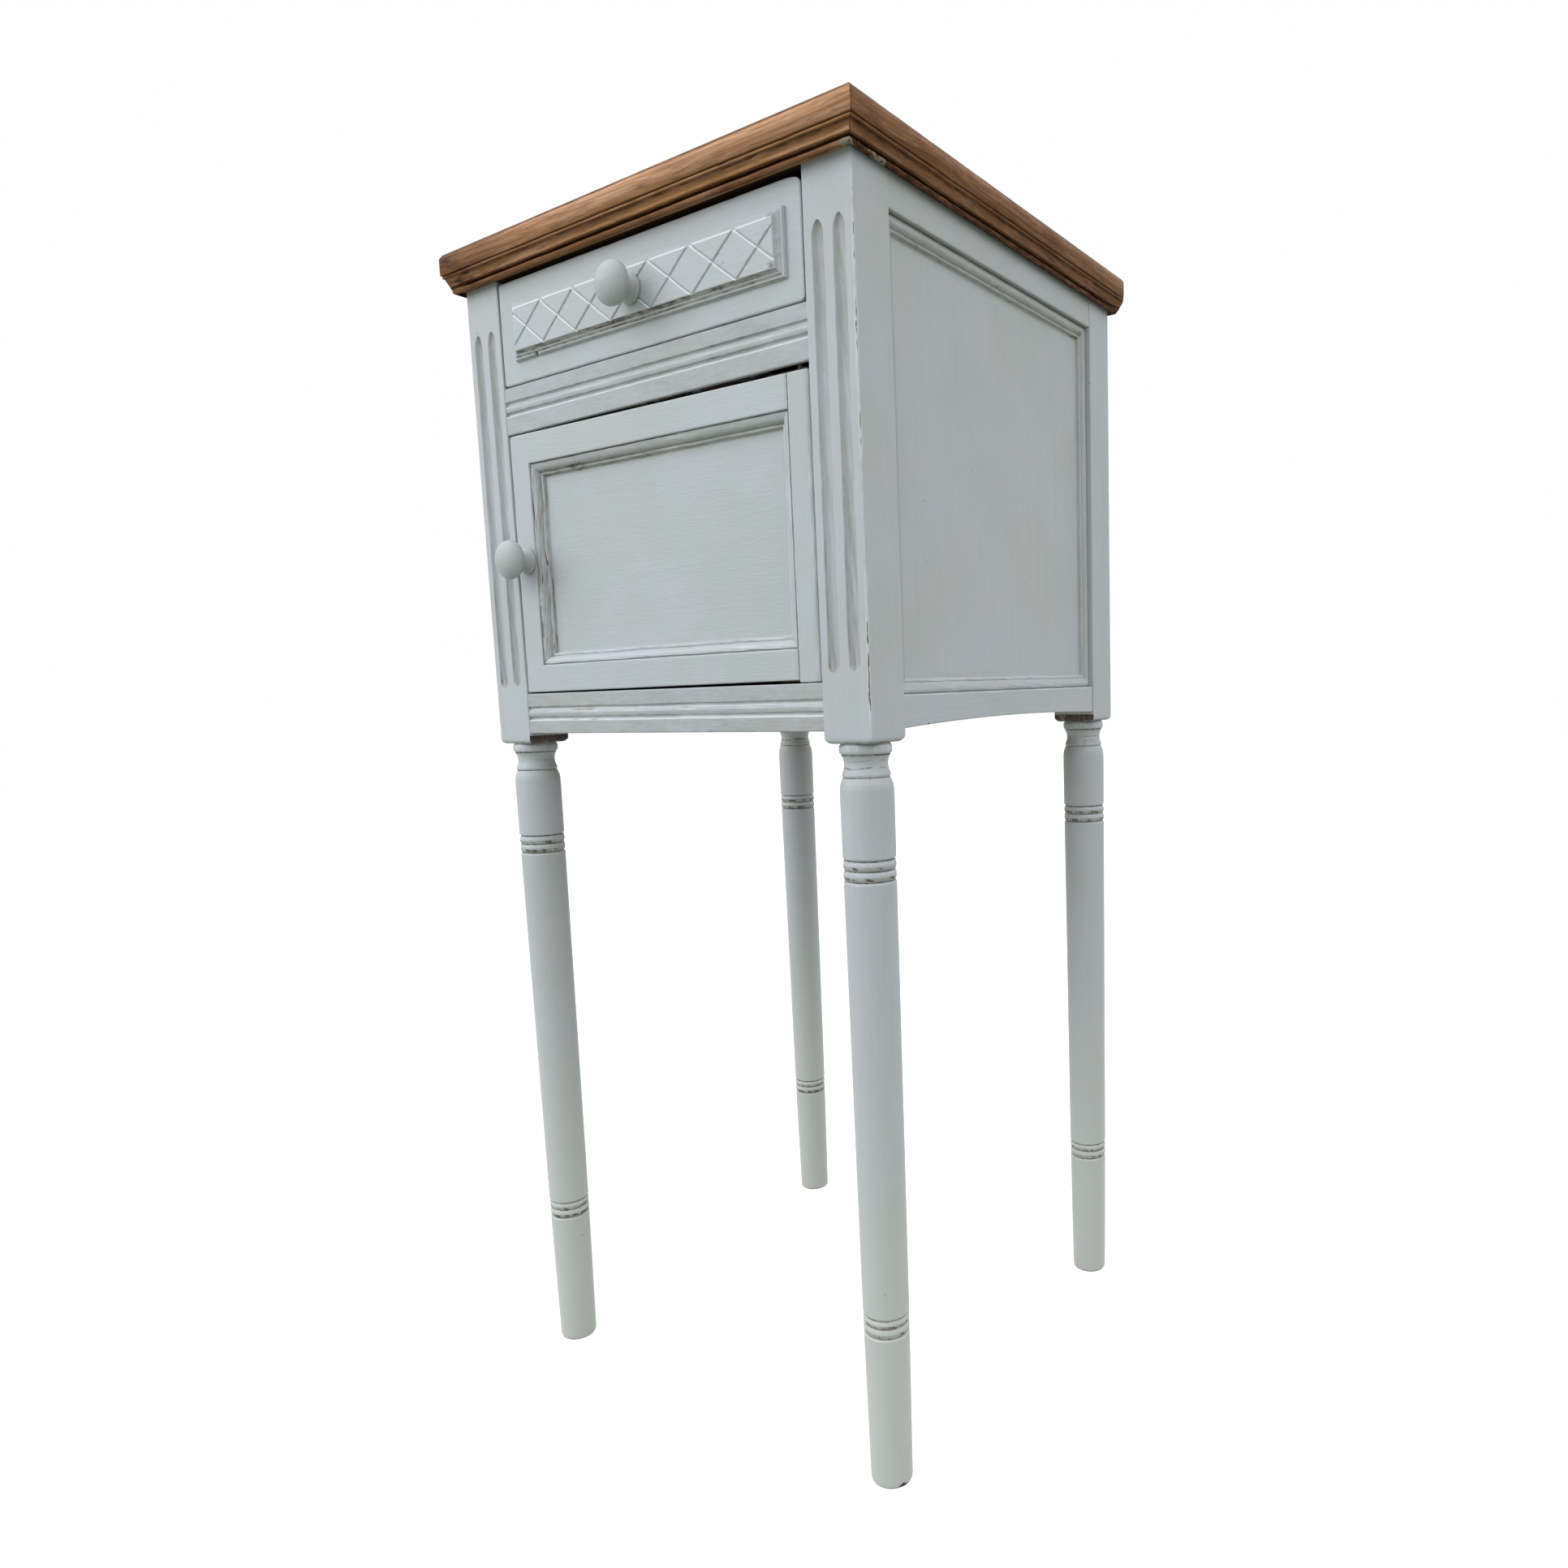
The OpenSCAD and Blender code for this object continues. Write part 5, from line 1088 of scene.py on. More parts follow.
def make_side(tag, sign, seed):
    """Panel, its moulding and the two rails of one side."""
    back, front = BACK_POST_LOW[1], POST_HIGH[1]
    length = back - front
    rail_low, rail_high = box_mm(f"side_bottom_rail_{tag}")
    top_low = box_mm(f"side_top_rail_{tag}")[0]
    rise = shape().arch_rise / MM
    origin = np.array([sign * SIDE_OUT, front, 0])

    def arched(t, u, v, wear, dirt_and_shading):
        """Lifts the lower edge by a parabola along the rail, soils its back end and chips
        the edge near its front end."""
        share = 2 * t / length - 1
        lower = (rail_high[2] - v) / (rail_high[2] - rail_low[2])
        end = np.clip(t - length + 1, 0, 1) * 0.95
        place, width, bare = SIDE_CHIP
        chip = bare * band(t, place, width) * (lower > 0.93) * (u > -3)
        return (t, u, v + rise * (1 - share ** 2) * lower, np.maximum(wear, chip),
                np.maximum(dirt_and_shading, end))

    for node, low_z, high_z, carve in (
            (f"side_bottom_rail_{tag}", rail_low[2], rail_high[2], arched),
            (f"side_top_rail_{tag}", top_low[2], BODY_TOP, None)):
        skin = Skin()
        bar(skin, side_rail_section(low_z, high_z, carve is not None),
            (origin, Y, sign * X, Z), (0, length), grain="y", seed=seed + len(node),
            carve=carve, near=(0.3,))
        skin.build(node + "_board", node)

    panel_low, panel_high = box_mm(f"side_panel_{tag}")
    skin = Skin()
    board(skin, panel_low, panel_high, "z", wear=0, seed=seed + 3, step=6)
    skin.build(f"side_panel_{tag}_board", f"side_panel_{tag}")

    node = f"side_moulding_{tag}"
    strip_low, strip_high = box_mm(node)
    panel_x = panel_high[0] if sign > 0 else panel_low[0]
    skin = Skin()
    low = np.array([panel_x, front, rail_high[2]])
    high = np.array([panel_x, back, top_low[2]])
    frame_strips(skin, low, high, (Y, Z, sign * X),
                 moulding_section(SIDE_STRIP_W, strip_high[0] - strip_low[0] + 0.8, 125, 2.0),
                 seed + 40, rough=(0.16, 0.08, 0.1, 0.1), film=(0, 0.25, 0.6, 0.4),
                 rub=(1, 1, 1, 0.2))
    skin.build(node + "_strips", node)


# Gaps between the boards of the top, and half the gap at its mitres
BOARD_GAP = 0.1
MITRE_GAP = 0.04
# Radii of the top's corners in plan: sound ones, and the worn front left and back right
SOUND_R, FRONT_LEFT_R, BACK_RIGHT_R = 2.5, 6.0, 10.0
# Dirt and shading on the oak's edges: at the left end of the front, dirt; on the other
# sides, stain and painted shade; on top, dirt
FRONT_FILM, SIDE_STAIN_AND_SHADE, UPPER_FILM = 0.74, 0.66, 0.1
# Worn ends of the moulding under the top: heights, and how far out they reach there
WORN_END = (-2, 1, 4, 10), (3.2, 5.2, 6.4, 9.2)


def nose_section():
    """Oak edge, u outwards from the posts' line and v up from its underside: a nose that is
    an arc of an ellipse, between a small step below and a rounded shoulder above."""
    inner = -(LIP_IN - 0.08)
    corners = [(inner, 0, 0, 0, 0), (9.2, 0, 0, 0, 0.85), (10.2, 0.3, 0, 0.1, 0.4)]
    radius = 10.6
    corners += arc(TOP_REACH - radius, 6.2, radius, radius * 0.98, -31, 35, 12, (0.1, 0.3),
                   (0.3, 0.05))
    corners += [(9.6, 12.9, 0.5, 0.1, 0.8), (8.0, TOP_T, 0.8, 0.2, 0.75),
                (inner, TOP_T, 0.25, 0, 0.8)]
    return outline(corners)


def bed_section(depth):
    """Moulding under the oak edge, u outwards and v up: a torus, a deep groove, a cove and a
    fillet. It reaches back by depth, and its torus hangs a little below the rest. Its
    underside, the lower side of its torus, its grooves and its cove are darkened with old
    stain and painted shade."""
    corners = [(-depth, 0, 0, 0, 0.75), (0.1, -0.1, 0, 0, 0.6), (1.2, -0.9, 0, 0, 0.5)]
    # Torus darkest on its lower side: painted shade
    corners += arc(3.2, -0.3, 1.8, 1.6, -130, 85, 14, (0.1, 0.3), (0.85, 0.58))
    corners += [(2.2, 1.4, 0, 0, 1), (2.2, 2.7, 0, 0, 1), (3.3, 2.8, 0, 0, 0.9),
                (4.4, 2.9, 0, 0, 0.75), (5.4, 3.0, 0, 0, 0.55),
                (6.0, 3.3, 0.2, 0.4, 0.4), (6.1, 4.2, 0, 0.3, 0.05), (6.3, 5.0, 0, 0, 0.15),
                (6.7, 5.9, 0, 0, 0.4), (7.3, 6.8, 0, 0, 0.7), (7.9, 7.5, 0, 0, 0.85),
                (7.8, 8.2, 0, 0, 0.8), (9.3, 8.4, 0.25, 0.5, 0.2), (9.5, 9.4, 0.3, 0.5, 0.2),
                (8.2, 9.6, 0, 0, 0.85), (8.2, 10.0, 0, 0, 0.85), (-depth, 10.0, 0, 0, 0)]
    return outline(corners)


# Runs round the top, by the side they lie on: start corner, direction, outward normal, length
TOP_RUNS = {
    "front": (np.array([-HALF_W, TOP_FRONT_Y, 0]), X, -Y, 2 * HALF_W),
    "right": (np.array([HALF_W, TOP_FRONT_Y, 0]), Y, X, BACK_Y - TOP_FRONT_Y),
    "back": (np.array([HALF_W, BACK_Y, 0]), -X, Y, 2 * HALF_W),
    "left": (np.array([-HALF_W, BACK_Y, 0]), -Y, -X, BACK_Y - TOP_FRONT_Y),
}


def make_top():
    """Mitred oak edge and moulding round the top, and the panel of three boards in it."""
    for k, (side, (corner, along, out, length)) in enumerate(TOP_RUNS.items()):
        grain = letter(along)

        def weathered(t, u, v, wear, dirt_and_shading, side=side, length=length):
            """Wavers the grooves a little. The left end of the front is darker with dirt and the
            other sides with stain and painted shade, but for the upper surface, and there is a dark
            line at each mitre."""
            v = v + 0.14 * noise(t + 3 * u, 77, 17.0) * (v > 0.8) * (v < 9.2)
            film = FRONT_FILM * np.clip(1.1 - t / 140, 0, 1) if side == "front" else SIDE_STAIN_AND_SHADE
            film = film * (1 + 0.2 * ragged(t + 2 * v, 78, 24.0))
            film = np.where(v > TOP_T - 0.6, UPPER_FILM, film)
            dirt_and_shading = np.clip(np.maximum(dirt_and_shading, film), 0, 1)
            mitre = band(np.minimum(t, length - t), 0, 0.6)
            return t, u, v, wear, np.maximum(dirt_and_shading, 0.9 * mitre)

        def overpainted(t, u, v, wear, dirt_and_shading, side=side, length=length):
            """Crumbs of paint on the torus, thick by the front right corner, and dark stain and
            painted shade on it along the sides. The grooves run out at two worn corners."""
            t, u, v, wear, dirt_and_shading = weathered(t, u, v, wear, dirt_and_shading)
            low = (v < 1.0) & (u > -1)
            near = np.clip((t - length + 12) / 12 if side == "front" else 1.4 - t / 24, 0, 1)
            crumb = ragged(t + 2 * u, 79, 3.0)
            wear = np.where(low & (near > 0), PAINTED_OVER + 0.7 * near * (0.4 + crumb), wear)
            # Dark stain and painted shade on the torus along the sides
            darkening = 0 if side == "front" else np.where(u < 3.4 + crumb, 1.1, 0.86)
            u = u + 0.7 * near * crumb * low
            end = np.clip((16 - (t if side in ("front", "back") else length - t)) / 12, 0, 1)
            full = np.interp(v, *WORN_END) + (1.2 if side in ("right", "back") else 0)
            u = np.where(u > 0, u + end * np.maximum(full - u, 0), u)
            return t, u, v, wear, np.where(low, np.maximum(dirt_and_shading, darkening), dirt_and_shading)

        def eased(points):
            """Rounds the corners in plan, the worn front left and back right ones most."""
            low = np.array([-HALF_W - TOP_REACH, TOP_FRONT_Y - TOP_REACH])
            high = np.array([HALF_W + TOP_REACH, BACK_Y + TOP_REACH])
            x, y = points[..., 0], points[..., 1]
            r = np.where(x > 0, np.where(y > 0, BACK_RIGHT_R, SOUND_R),
                         np.where(y > 0, SOUND_R, FRONT_LEFT_R))
            x, y = rounded_corners(x, y, low, high, r)
            return np.stack([x, y, points[..., 2]], -1)

        for name, height, section, carve in (
                (f"top_edge_{side}", BODY_TOP, nose_section(), weathered),
                (f"bed_moulding_{side}", BED_Z,
                 bed_section(FRONT_Y - TOP_FRONT_Y if side == "front" else 0), overpainted)):
            skin = Skin()
            origin = corner + height * Z
            bar(skin, section, (origin, along, out, Z), (MITRE_GAP, length - MITRE_GAP),
                mitre=(-1, 1), grain=grain, seed=11 * k + len(name), fray=0.5, carve=carve,
                warp=eased, step=1.6, near=(1.0, 2.0, 3.5, 5.0, 6.5, 8.0))
            skin.build(name + "_run", name, "carcass", "stripped_oak")

    low = np.array([-HALF_W + LIP_IN, TOP_FRONT_Y + LIP_IN, BODY_TOP])
    high = np.array([HALF_W - LIP_IN, BACK_Y - LIP_IN, BODY_TOP + TOP_T])
    skin = Skin()
    boards = 3
    edges = np.linspace(low[1], high[1], boards + 1)
    for k in range(boards):
        board(skin, np.array([low[0], edges[k] + BOARD_GAP / 2, low[2]]),
              np.array([high[0], edges[k + 1] - BOARD_GAP / 2, high[2]]), "x", r=0.25, wear=0,
              dirt_and_shading=0.5, seed=60 + 9 * k, end_dirt=0.5, step=5)
    skin.build("top_panel_boards", "top_panel", "carcass", "stripped_oak")


# Fall of the drawer front's upper edge: from the middle to an end, at the middle, and the
# depth and length of the rounded drop at the right
EDGE_FALL, EDGE_START, EDGE_DROP, EDGE_RUN = 0.5, -0.9, 2.4, 14


def make_drawer_front():
    """Drawer front with softened edges and corners; its upper edge is planed down towards the
    right."""
    low, high = box_mm("drawer_front")

    def planed(points):
        """Rounds the corners in the plane of the front, and lowers the upper edge by an even
        fall from left to right and by a drop at the end, the run's share to the power 2.5."""
        x, z = rounded_corners(points[..., 0], points[..., 2], low[[0, 2]], high[[0, 2]], 4.2)
        share = (z - low[2]) / (high[2] - low[2])
        run = np.clip((x - high[0] + EDGE_RUN) / EDGE_RUN, 0, 1)
        fall = EDGE_FALL * x / high[0] + EDGE_START + EDGE_DROP * run ** 2.5
        return np.stack([x, points[..., 1], z - fall * share], -1)

    skin = Skin()
    inset = np.array([0.1, 0, 0])
    board(skin, low + inset, high - inset, "x", r=1.3, wear=0.5, seed=71, warp=planed, end=1.2,
          near=(2.1, 3.0))
    skin.build("drawer_front_board", "drawer_front", "drawer")


# Drift of the hand-cut crosses from their even places along the plaque, in millimetres, how
# far these places are apart, and half the width of a groove
CROSS_DRIFT = np.array([0.8, -0.7, -3.0, -1.8, -1.2, 0.2, 0.7])
CROSS_PITCH = 35.1
CROSS_HALF_W = 0.8
# Width of the plaque's moulded edge, and the length at its right end where that is damaged
PLAQUE_EDGE = 5.6
DAMAGED = 8
# Moulded edge of the plaque: distance from its border, height, wear, and dirt and shading,
# which is dirt and painted shade on its slopes and hollows and a painted highlight below 0
PLAQUE_LINE = np.array([
    (0, 1.2, 0.6, 0.2), (0.3, 1.8, 0.4, 0.6), (0.6, 2.2, 0.3, 0.4), (0.9, 2.45, 0.7, -0.4),
    (1.2, 2.4, 0.3, 0.1), (1.8, 2.5, 0, 0.68), (2.4, 2.9, 0, 0.62), (2.9, 3.35, 0.1, 0.35),
    (3.1, 3.55, 0.6, -0.4), (3.4, 3.55, 0.3, 0), (3.6, 3.35, 0, 0.95), (3.9, 3.6, 0, 0.68),
    (4.6, 4.4, 0, 0.66), (5.2, 5.4, 0, 0.78), (5.6, 5.85, 0.6, 0), (6.1, 5.9, 0.3, 0),
    (6.8, 5.9, 0.1, 0)])


def plaque_height(x, z, half_x, half_z, thick):
    """Height of the plaque over its back, with wear, and dirt and shading. Near the rim it follows
    the moulded edge, a curve of the distance to the nearest side; inside it is flat, less a V
    groove along each line of the crosses: depth (1 - distance / half width). The lower walls
    of the grooves that fall to the right, and the field's upper edge, carry a painted highlight.
    The bottoms of the grooves are darker, those that rise to the right most, with dirt and
    painted shade. The moulded edge is filled with paint at the top and not darkened there, is
    cleaner at the right, and is darker below, with dirt and painted shade."""
    rim = np.minimum(half_x - np.abs(x), half_z - np.abs(z))
    border, level, edge_wear, edge_dirt_and_shading = PLAQUE_LINE.T
    height = np.interp(rim, border, level * thick / level[-1])
    wear, dirt_and_shading = np.interp(rim, border, edge_wear), np.interp(rim, border, edge_dirt_and_shading)
    field_z = half_z - PLAQUE_EDGE
    inside = np.clip((rim - PLAQUE_EDGE + 0.3) / 0.4, 0, 1)
    right = (x > half_x - DAMAGED) & (half_x - x < half_z + z)
    under = (rim < PLAQUE_EDGE) & (half_z + z < half_x - np.abs(x) + 0.1)
    upper = np.clip((half_x - DAMAGED - x) / 2.5, 0, 1) * (z > half_z - 8)
    filled = np.interp(rim, (0, 0.9, PLAQUE_EDGE), (1.2, 2.4, level[-1])) * thick / level[-1]
    height = height + upper * np.maximum(filled - height, 0)
    # No darkening along the top of the moulded edge, and less at the right end
    dirt_and_shading = dirt_and_shading * (1 - upper) * np.where(right, 0.35, 1)
    # Darker below: dirt and painted shade
    dirt_and_shading = np.where(under & (dirt_and_shading > 0), np.minimum(1.25 * dirt_and_shading, 0.78), dirt_and_shading)
    centres = (np.arange(len(CROSS_DRIFT)) - (len(CROSS_DRIFT) - 1) / 2) * CROSS_PITCH
    deep = shape().groove_depth / MM
    wobble = 0.25 * noise(z, 91, 6.0) + 0.2 * noise(x, 92, 9.0)
    cut, groove_dirt_and_shade, highlight = (np.zeros_like(height) for _ in range(3))
    for centre in centres + CROSS_DRIFT:
        for lean in (-1, 1):
            slope = lean * CROSS_PITCH / 2 / field_z
            aside = (x - centre - slope * z + wobble) / math.hypot(1, slope)
            away = np.abs(aside)
            broken = 1 + (0.25 + 0.5 * (x > half_x - 30)) * ragged(x + z, 93, 3.0)
            groove = np.clip(1 - away / (CROSS_HALF_W * broken), 0, 1)
            cut = np.maximum(cut, groove)
            # Groove bottoms darkened, those that rise to the right most: dirt and painted shade
            groove_dirt_and_shade = np.maximum(groove_dirt_and_shade, np.clip(3.0 * groove - 2.3, 0, 0.5 if lean > 0 else 0.2))
            if lean < 0:
                # Painted highlight on the lower wall of grooves that fall to the right
                highlight = np.maximum(highlight, band(aside, -0.6, 0.5))
    height = height - deep * cut * inside
    groove_dirt_and_shade = groove_dirt_and_shade * inside
    dirt_and_shading = np.where(groove_dirt_and_shade > 0, np.maximum(dirt_and_shading, groove_dirt_and_shade), dirt_and_shading)
    # Painted highlight also on the field's upper edge
    highlight = np.maximum(highlight * inside, upper * band(rim, 5.8, 0.55))
    dirt_and_shading = np.where(dirt_and_shading < highlight, -highlight, dirt_and_shading)
    # Hollows and lumps where the carving is damaged: place, radius, depth and dirt
    for hole_x, hole_z, radius, depth, darkening in (
            (-half_x + 23, -half_z + 1.3, 1.8, 1.8, 1.2),
            (half_x - 7.5, -field_z + 1.2, 1.8, 1.0, 0.9),
            (half_x - 48, 3.0, 1.5, 0.35, 0.1), (half_x - 44, -3.5, 1.4, 0.3, 0.1),
            (half_x - 3.5, 2.0, 1.6, -0.6, 0.0), (half_x - 3.0, -6.0, 1.3, -0.5, 0.0)):
        near = np.exp(-((x - hole_x) ** 2 + (z - hole_z) ** 2) / radius ** 2)
        height = height - depth * near
        dirt_and_shading = np.where(near > 0.15, np.maximum(dirt_and_shading, darkening * np.clip(2 * near - 0.3, 0, 1)), dirt_and_shading)
    height = height + 0.035 * ragged(x + 1.3 * z, 95, 2.2) * inside
    return height, np.clip(wear, 0, 1), np.clip(dirt_and_shading, -1, 1)


def make_plaque():
    """Carved plaque on the drawer front, as rows of rings: the carved face and a flat back."""
    low, high = box_mm("drawer_plaque")
    half_x, thick, half_z = (high[0] - low[0]) / 2, high[1] - low[1], (high[2] - low[2]) / 2
    middle = (low + high) / 2
    rim = PLAQUE_LINE[:, 0]

    def lines(half, step):
        """Places of the grid's lines: those of the moulded edge at both ends, even between."""
        inner = np.linspace(-half + rim[-1] + 0.4, half - rim[-1] - 0.4, int(2 * half / step))
        return np.concatenate([-half + rim, inner, (half - rim)[::-1]])

    x, z = lines(half_x, 0.40)[:, None], lines(half_z, 0.36)[None, :]
    x, z = x + 0 * z, z + 0 * x
    height, wear, dirt_and_shading = plaque_height(x, z, half_x, half_z, thick)
    face = np.stack([middle[0] + x, high[1] - height, middle[2] + z], -1)
    flat = np.stack([face[:, [-1, 0], 0], np.full((len(x), 2), high[1]), face[:, [-1, 0], 2]], -1)
    pad = np.zeros((len(x), 2))
    skin = Skin()
    skin.tube(np.concatenate([face, flat], 1), np.hstack([wear, pad]), np.hstack([dirt_and_shading, pad]),
              "x", 83)
    skin.build("drawer_plaque_carving", "drawer_plaque", "drawer")


# Knob: distance from its seat and radius, in millimetres
KNOB_LINE = [(0, 8.4), (0.5, 9.1), (1.5, 9.2), (2.4, 8.7), (3.4, 7.4), (5.0, 6.2), (7.2, 5.7),
             (9.2, 6.0), (10.3, 7.4), (10.9, 9.6), (11.9, 11.9), (13.6, 13.2), (15.4, 13.5),
             (17.4, 13.0), (19.6, 11.2), (21.3, 8.2), (22.2, 4.8), (22.5, 1.8), (22.5, 0.3)]
# Rings of the knob that are worn or soiled, by their distance from its seat
KNOB_FOOT, KNOB_HOLLOW, KNOB_RIM, KNOB_BELLY = 1.2, 10.2, 11.4, 15.4
# Crack round the belly of the door's knob
KNOB_CRACK = 13.8


def make_knob(node, body, seed):
    """Turned knob on its seat, its axis towards the front. Its rim, its foot and its belly
    are worn, and the hollow behind its rim is soiled."""
    low, high = box_mm(node)
    seat = np.array([(low[0] + high[0]) / 2, high[1], (low[2] + high[2]) / 2])
    along, radius = smooth_curve(KNOB_LINE, 110).T
    chipped = 1.0 if body == "door" else 0.5
    wear = band(along, KNOB_RIM, 0.8) * chipped
    wear += band(along, KNOB_FOOT, 1.0) * 0.4 + band(along, KNOB_BELLY, 2.4) * 0.2
    dirt_and_shading = band(along, KNOB_HOLLOW, 1.2) * 0.5 + band(along, 0, 0.6) * 0.9

    def shaded_and_cracked(along, angle, wear, dirt_and_shading):
        """Darkens the knob's lower side as painted shade, and cracks the door's knob round its
        right side.
        """
        share = angle / (2 * np.pi)
        low = np.clip(0.5 - 0.5 * np.sin(angle), 0, 1)
        # Painted shade on the lower side, with a faint mottle
        dirt_and_shading = np.maximum(dirt_and_shading, 0.22 * low + 0.08 * noise(3 * share, seed + 4, 1, 3))
        if body == "door":
            line = KNOB_CRACK + 1.2 * ragged(6 * angle, seed + 8, 1.0)
            crack = band(along, line, 0.28) * (np.cos(angle) > 0.35)
            dirt_and_shading = np.maximum(dirt_and_shading, 0.9 * crack)
        return wear, dirt_and_shading

    skin = Skin()
    turned(skin, along, np.maximum(radius, 0.3), wear, dirt_and_shading, (seat, -Y, X, Z), "y", seed,
           segments=120, fray=0.1, smear=shaded_and_cracked)
    skin.build(node + "_turned", node, body)


def door_sag(points):
    """The planed, slightly dropped door: its corners move up by the amounts named below and
    what lies between follows evenly, as a bilinear mean. Its upper left corner is rounded."""
    low, high = DOOR_BOX
    x, z = points[..., 0], points[..., 2]
    s, h = (x - low[0]) / (high[0] - low[0]), (z - low[2]) / (high[2] - low[2])
    low_left, low_right, top_left, top_right = -0.2, 0.8, 1.5, -1.5
    lift = ((1 - s) * ((1 - h) * low_left + h * top_left)
            + s * ((1 - h) * low_right + h * top_right))
    past = (s < 0.1) & (h > 0.9)
    corner = rounded_corners(x, z, low[[0, 2]], high[[0, 2]], 4.0)
    x, z = np.where(past, corner[0], x), np.where(past, corner[1], z)
    return np.stack([x, points[..., 1], z + lift], -1)


def make_door():
    """Stiles, rails, panel and mitred moulding of the door."""
    low, high = DOOR_BOX
    knob_stile, hinge_stile = box_mm("door_stile_knob"), box_mm("door_stile_hinge")
    top_rail, low_rail = box_mm("door_top_rail"), box_mm("door_bottom_rail")
    panel = box_mm("door_panel")
    inner_left, inner_right = knob_stile[1][0], hinge_stile[0][0]
    soft = shape().arris / MM
    # The rails run this far over the knob stile and this much in front of it, which hides
    # the joint under the paint; the hinge stile reaches this far below them
    over, proud, foot = 1.2, 0.02, 1.5
    members = (
        ("door_stile_knob", (low[0], inner_left, low[2], high[2]), (1.6, soft)),
        ("door_stile_hinge", (inner_right, high[0], low[2] - foot, high[2]), (soft, 3.0)),
        ("door_top_rail", (inner_left - over, inner_right - 0.1, top_rail[0][2], high[2]), None),
        ("door_bottom_rail", (inner_left - over, inner_right - 0.1, low[2], low_rail[1][2]),
         None))
    for k, (node, (x0, x1, z0, z1), rounds) in enumerate(members):
        skin = Skin()
        corner_low, corner_high = np.array([x0, low[1], z0]), np.array([x1, high[1], z1])
        if rounds:
            board(skin, corner_low, corner_high, "z", r=(rounds[0], rounds[1], 0.6, 0.6),
                  wear=(0.5, 0.45, 0.3, 0.3), seed=100 + 13 * k, end=0.8, warp=door_sag,
                  near=(2.0, 2.6))
        else:
            def cracked(t, u, v, wear, dirt_and_shading):
                """Soils the end at the hinge stile."""
                return t, u, v, wear, np.maximum(dirt_and_shading, np.clip(t - x1 + 0.8, 0, 1))

            front = np.array([0, -proud, 0])
            board(skin, corner_low + front, corner_high, "x", r=soft, wear=0.4, end=0,
                  seed=100 + 13 * k, warp=door_sag, carve=cracked, near=(0.3,))
        skin.build(node + "_board", node, "door")
    skin = Skin()
    board(skin, *panel, "x", wear=0, seed=150, step=6, warp=door_sag)
    skin.build("door_panel_board", "door_panel", "door")
    skin = Skin()
    corner = np.array([inner_left, panel[0][1], low_rail[1][2]])
    far = np.array([inner_right, panel[0][1], top_rail[0][2]])
    frame_strips(skin, corner, far, (X, Z, -Y),
                 moulding_section(DOOR_STRIP_W, panel[0][1] - low[1], 86, 1.7), 160,
                 rough=(0.25, 0.08, 0.1, 0.6), film=(0, 0.1, 0.6, 0.3), warp=door_sag)
    skin.build("door_moulding_strips", "door_moulding", "door")


# Frame nodes that keep their own shape, by the way their grain runs
GRAIN_OF = {
    "x": ["back_top_rail", "back_bottom_rail", "drawer_back", "drawer_stops"],
    "y": ["drawer_runner_left", "drawer_runner_right", "drawer_kickers", "drawer_side_left",
          "drawer_side_right", "floor_board"],
}
THIN_BOARDS = {"x": ["drawer_bottom"], "z": ["back_panel"]}
STEEL_NODES = ["back_panel_nails", "top_screws", "pivot_socket_top", "pivot_socket_bottom",
               "carcass_screws", "drawer_knob_screw", "door_pivots", "door_knob_screw",
               "strike_plate", "door_screws"]


def give(node, material):
    """Puts a material on a frame node that shows as it is."""
    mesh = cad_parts[node].data
    mesh.materials.clear()
    mesh.materials.append(material)


def finish_hidden():
    """Finishes of the boards and fittings that keep the frame's own shape."""
    for boards, kind in ((GRAIN_OF, "inner_wood"), (THIN_BOARDS, "plywood")):
        for axis, nodes in boards.items():
            for node in nodes:
                give(node, inner_wood(axis, kind))
    # The rail over the drawer is dark brown, as painted shade in the gap
    give("front_top_rail", inner_wood("x", "stained_wood"))
    steel = metal("dull_steel", srgb(66, 60, 54), srgb(40, 33, 28))
    for node in STEEL_NODES:
        give(node, steel)
    give("pivot_washer", metal("dull_brass", srgb(84, 68, 44), srgb(50, 40, 28)))
    give("catch_case", moulded("pale_case", srgb(226, 222, 208), srgb(210, 204, 186)))
    give("catch_magnet", moulded("dark_magnet", srgb(58, 58, 60), srgb(38, 38, 40)))


# Stage

# Camera fitted to the photograph: place, sideways, up and backward directions, lens and shift
CAMERA_PLACE = (0.5424, FRONT_Y * MM - 0.5112, 0.5118)
CAMERA_RIGHT = (0.82483, 0.56442, -0.03300)
CAMERA_UP = (-0.04383, 0.12203, 0.99156)
CAMERA_BACK = (0.56368, -0.81642, 0.12539)
IMAGE_W = 1932
FOCAL_PX = 1341.47
CENTRE_PX = (1106.5, 1017.46)
SENSOR = 36.0


def make_camera():
    """Camera fitted to the photograph."""
    data = bpy.data.cameras.new("camera")
    data.sensor_width = SENSOR
    data.lens = FOCAL_PX / IMAGE_W * SENSOR
    data.shift_x = (IMAGE_W / 2 - CENTRE_PX[0]) / IMAGE_W
    data.shift_y = (CENTRE_PX[1] - IMAGE_W / 2) / IMAGE_W
    data.clip_end = 100
    camera = bpy.data.objects.new("camera", data)
    turn = Matrix((CAMERA_RIGHT, CAMERA_UP, CAMERA_BACK)).transposed()
    camera.matrix_world = Matrix.Translation(CAMERA_PLACE) @ turn.to_4x4()
    bpy.context.scene.collection.objects.link(camera)
    bpy.context.scene.camera = camera


def seen_directly(tree):
    """1 for camera, glossy and transmitted rays, else 0."""
    path = add(tree, "LightPath").outputs
    seen = calc(tree, "MAXIMUM", path["Is Camera Ray"], path["Is Glossy Ray"])
    return calc(tree, "MAXIMUM", seen, path["Is Transmission Ray"])


